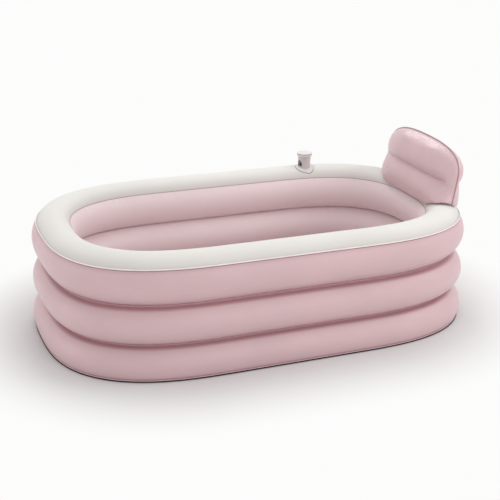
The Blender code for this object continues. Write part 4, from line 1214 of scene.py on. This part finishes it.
def makeGround():
    # A floor painted darker near the tub as painted shade, on top of the real shadow it keeps there, that runs out into
    # plain white
    ground = begin("studioFloor", bpy.ops.mesh.primitive_plane_add, size=studio["backdropSize"])
    material, tree, shader = newMaterial("studioFloorPaintedShade", studio["shadedFloorColour"], 0.9)
    setInputs(tree, shader, {"Specular IOR Level": 0.1})
    place = addNode(tree, "SeparateXYZ", {"Vector": objectPlace(tree)}).outputs
    along = addMath(tree, "SUBTRACT", addMath(tree, "ABSOLUTE", place["X"]), studio["spine"])
    along = addMath(tree, "POWER", addMath(tree, "MAXIMUM", along, 0), 2)
    across = addMath(tree, "MULTIPLY", place["Y"], place["Y"])
    away = addMath(tree, "SQRT", addMath(tree, "ADD", along, across))
    fade = addRange(tree, away, studio["nearEdge"], studio["farEdge"], blend="SMOOTHSTEP")
    plain = addNode(tree, "Emission", {"Color": (*studio["farColour"], 1)})
    blendShaders(tree, fade, shader.outputs["BSDF"], plain.outputs["Emission"], "Material Output")
    ground.data.materials.append(material)


def makeSky():
    # Light from all round, and plain white where the sky itself is seen
    world = bpy.data.worlds.new("studioSky")
    bpy.context.scene.world = world
    world.use_nodes = True
    tree = world.node_tree
    sky = tree.nodes["Background"]
    setInputs(tree, sky, {"Color": (1, 1, 1, 1), "Strength": studio["worldStrength"]})
    seen = addNode(tree, "Background", {"Color": (*studio["farColour"], 1), "Strength": 1.0})
    rays = addNode(tree, "LightPath").outputs
    direct = addMath(tree, "MAXIMUM", rays["Is Camera Ray"], rays["Is Transmission Ray"])
    direct = addMath(tree, "MAXIMUM", direct, rays["Is Glossy Ray"])
    blendShaders(tree, direct, sky.outputs["Background"], seen.outputs["Background"], "World Output")


def makeLamp(name, place, size, power):
    light = bpy.data.lights.new(name, "AREA")
    light.energy = power
    light.size = size
    lamp = bpy.data.objects.new(name, light)
    bpy.context.scene.collection.objects.link(lamp)
    lamp.location = place
    lamp.rotation_euler = (Vector(studio["aim"]) - Vector(place)).to_track_quat("-Z", "Y").to_euler()


def makeCamera():
    azimuth, elevation, roll = (photoCamera[key] for key in ("azimuth", "elevation", "roll"))
    back = Vector((math.sin(azimuth) * math.cos(elevation), -math.cos(azimuth) * math.cos(elevation),
                   math.sin(elevation)))
    right = (-back).cross(Vector((0, 0, 1))).normalized()
    up = right.cross(-back)
    rolledRight = right * math.cos(roll) + up * math.sin(roll)
    rolledUp = -right * math.sin(roll) + up * math.cos(roll)
    lens = bpy.data.cameras.new("photoCamera")
    lens.sensor_width = photoCamera["sensor"]
    lens.lens = photoCamera["lens"]
    camera = bpy.data.objects.new("photoCamera", lens)
    bpy.context.scene.collection.objects.link(camera)
    placing = Matrix((rolledRight, rolledUp, back)).transposed().to_4x4()
    placing.translation = Vector(photoCamera["aim"]) + back * photoCamera["distance"]
    camera.matrix_world = placing
    bpy.context.scene.camera = camera


makeGround()
makeSky()
for name, settings in lamps.items():
    makeLamp(name, *settings)
makeCamera()
bpy.context.scene.view_settings.view_transform = "Standard"
deselect()
print("scene ready")
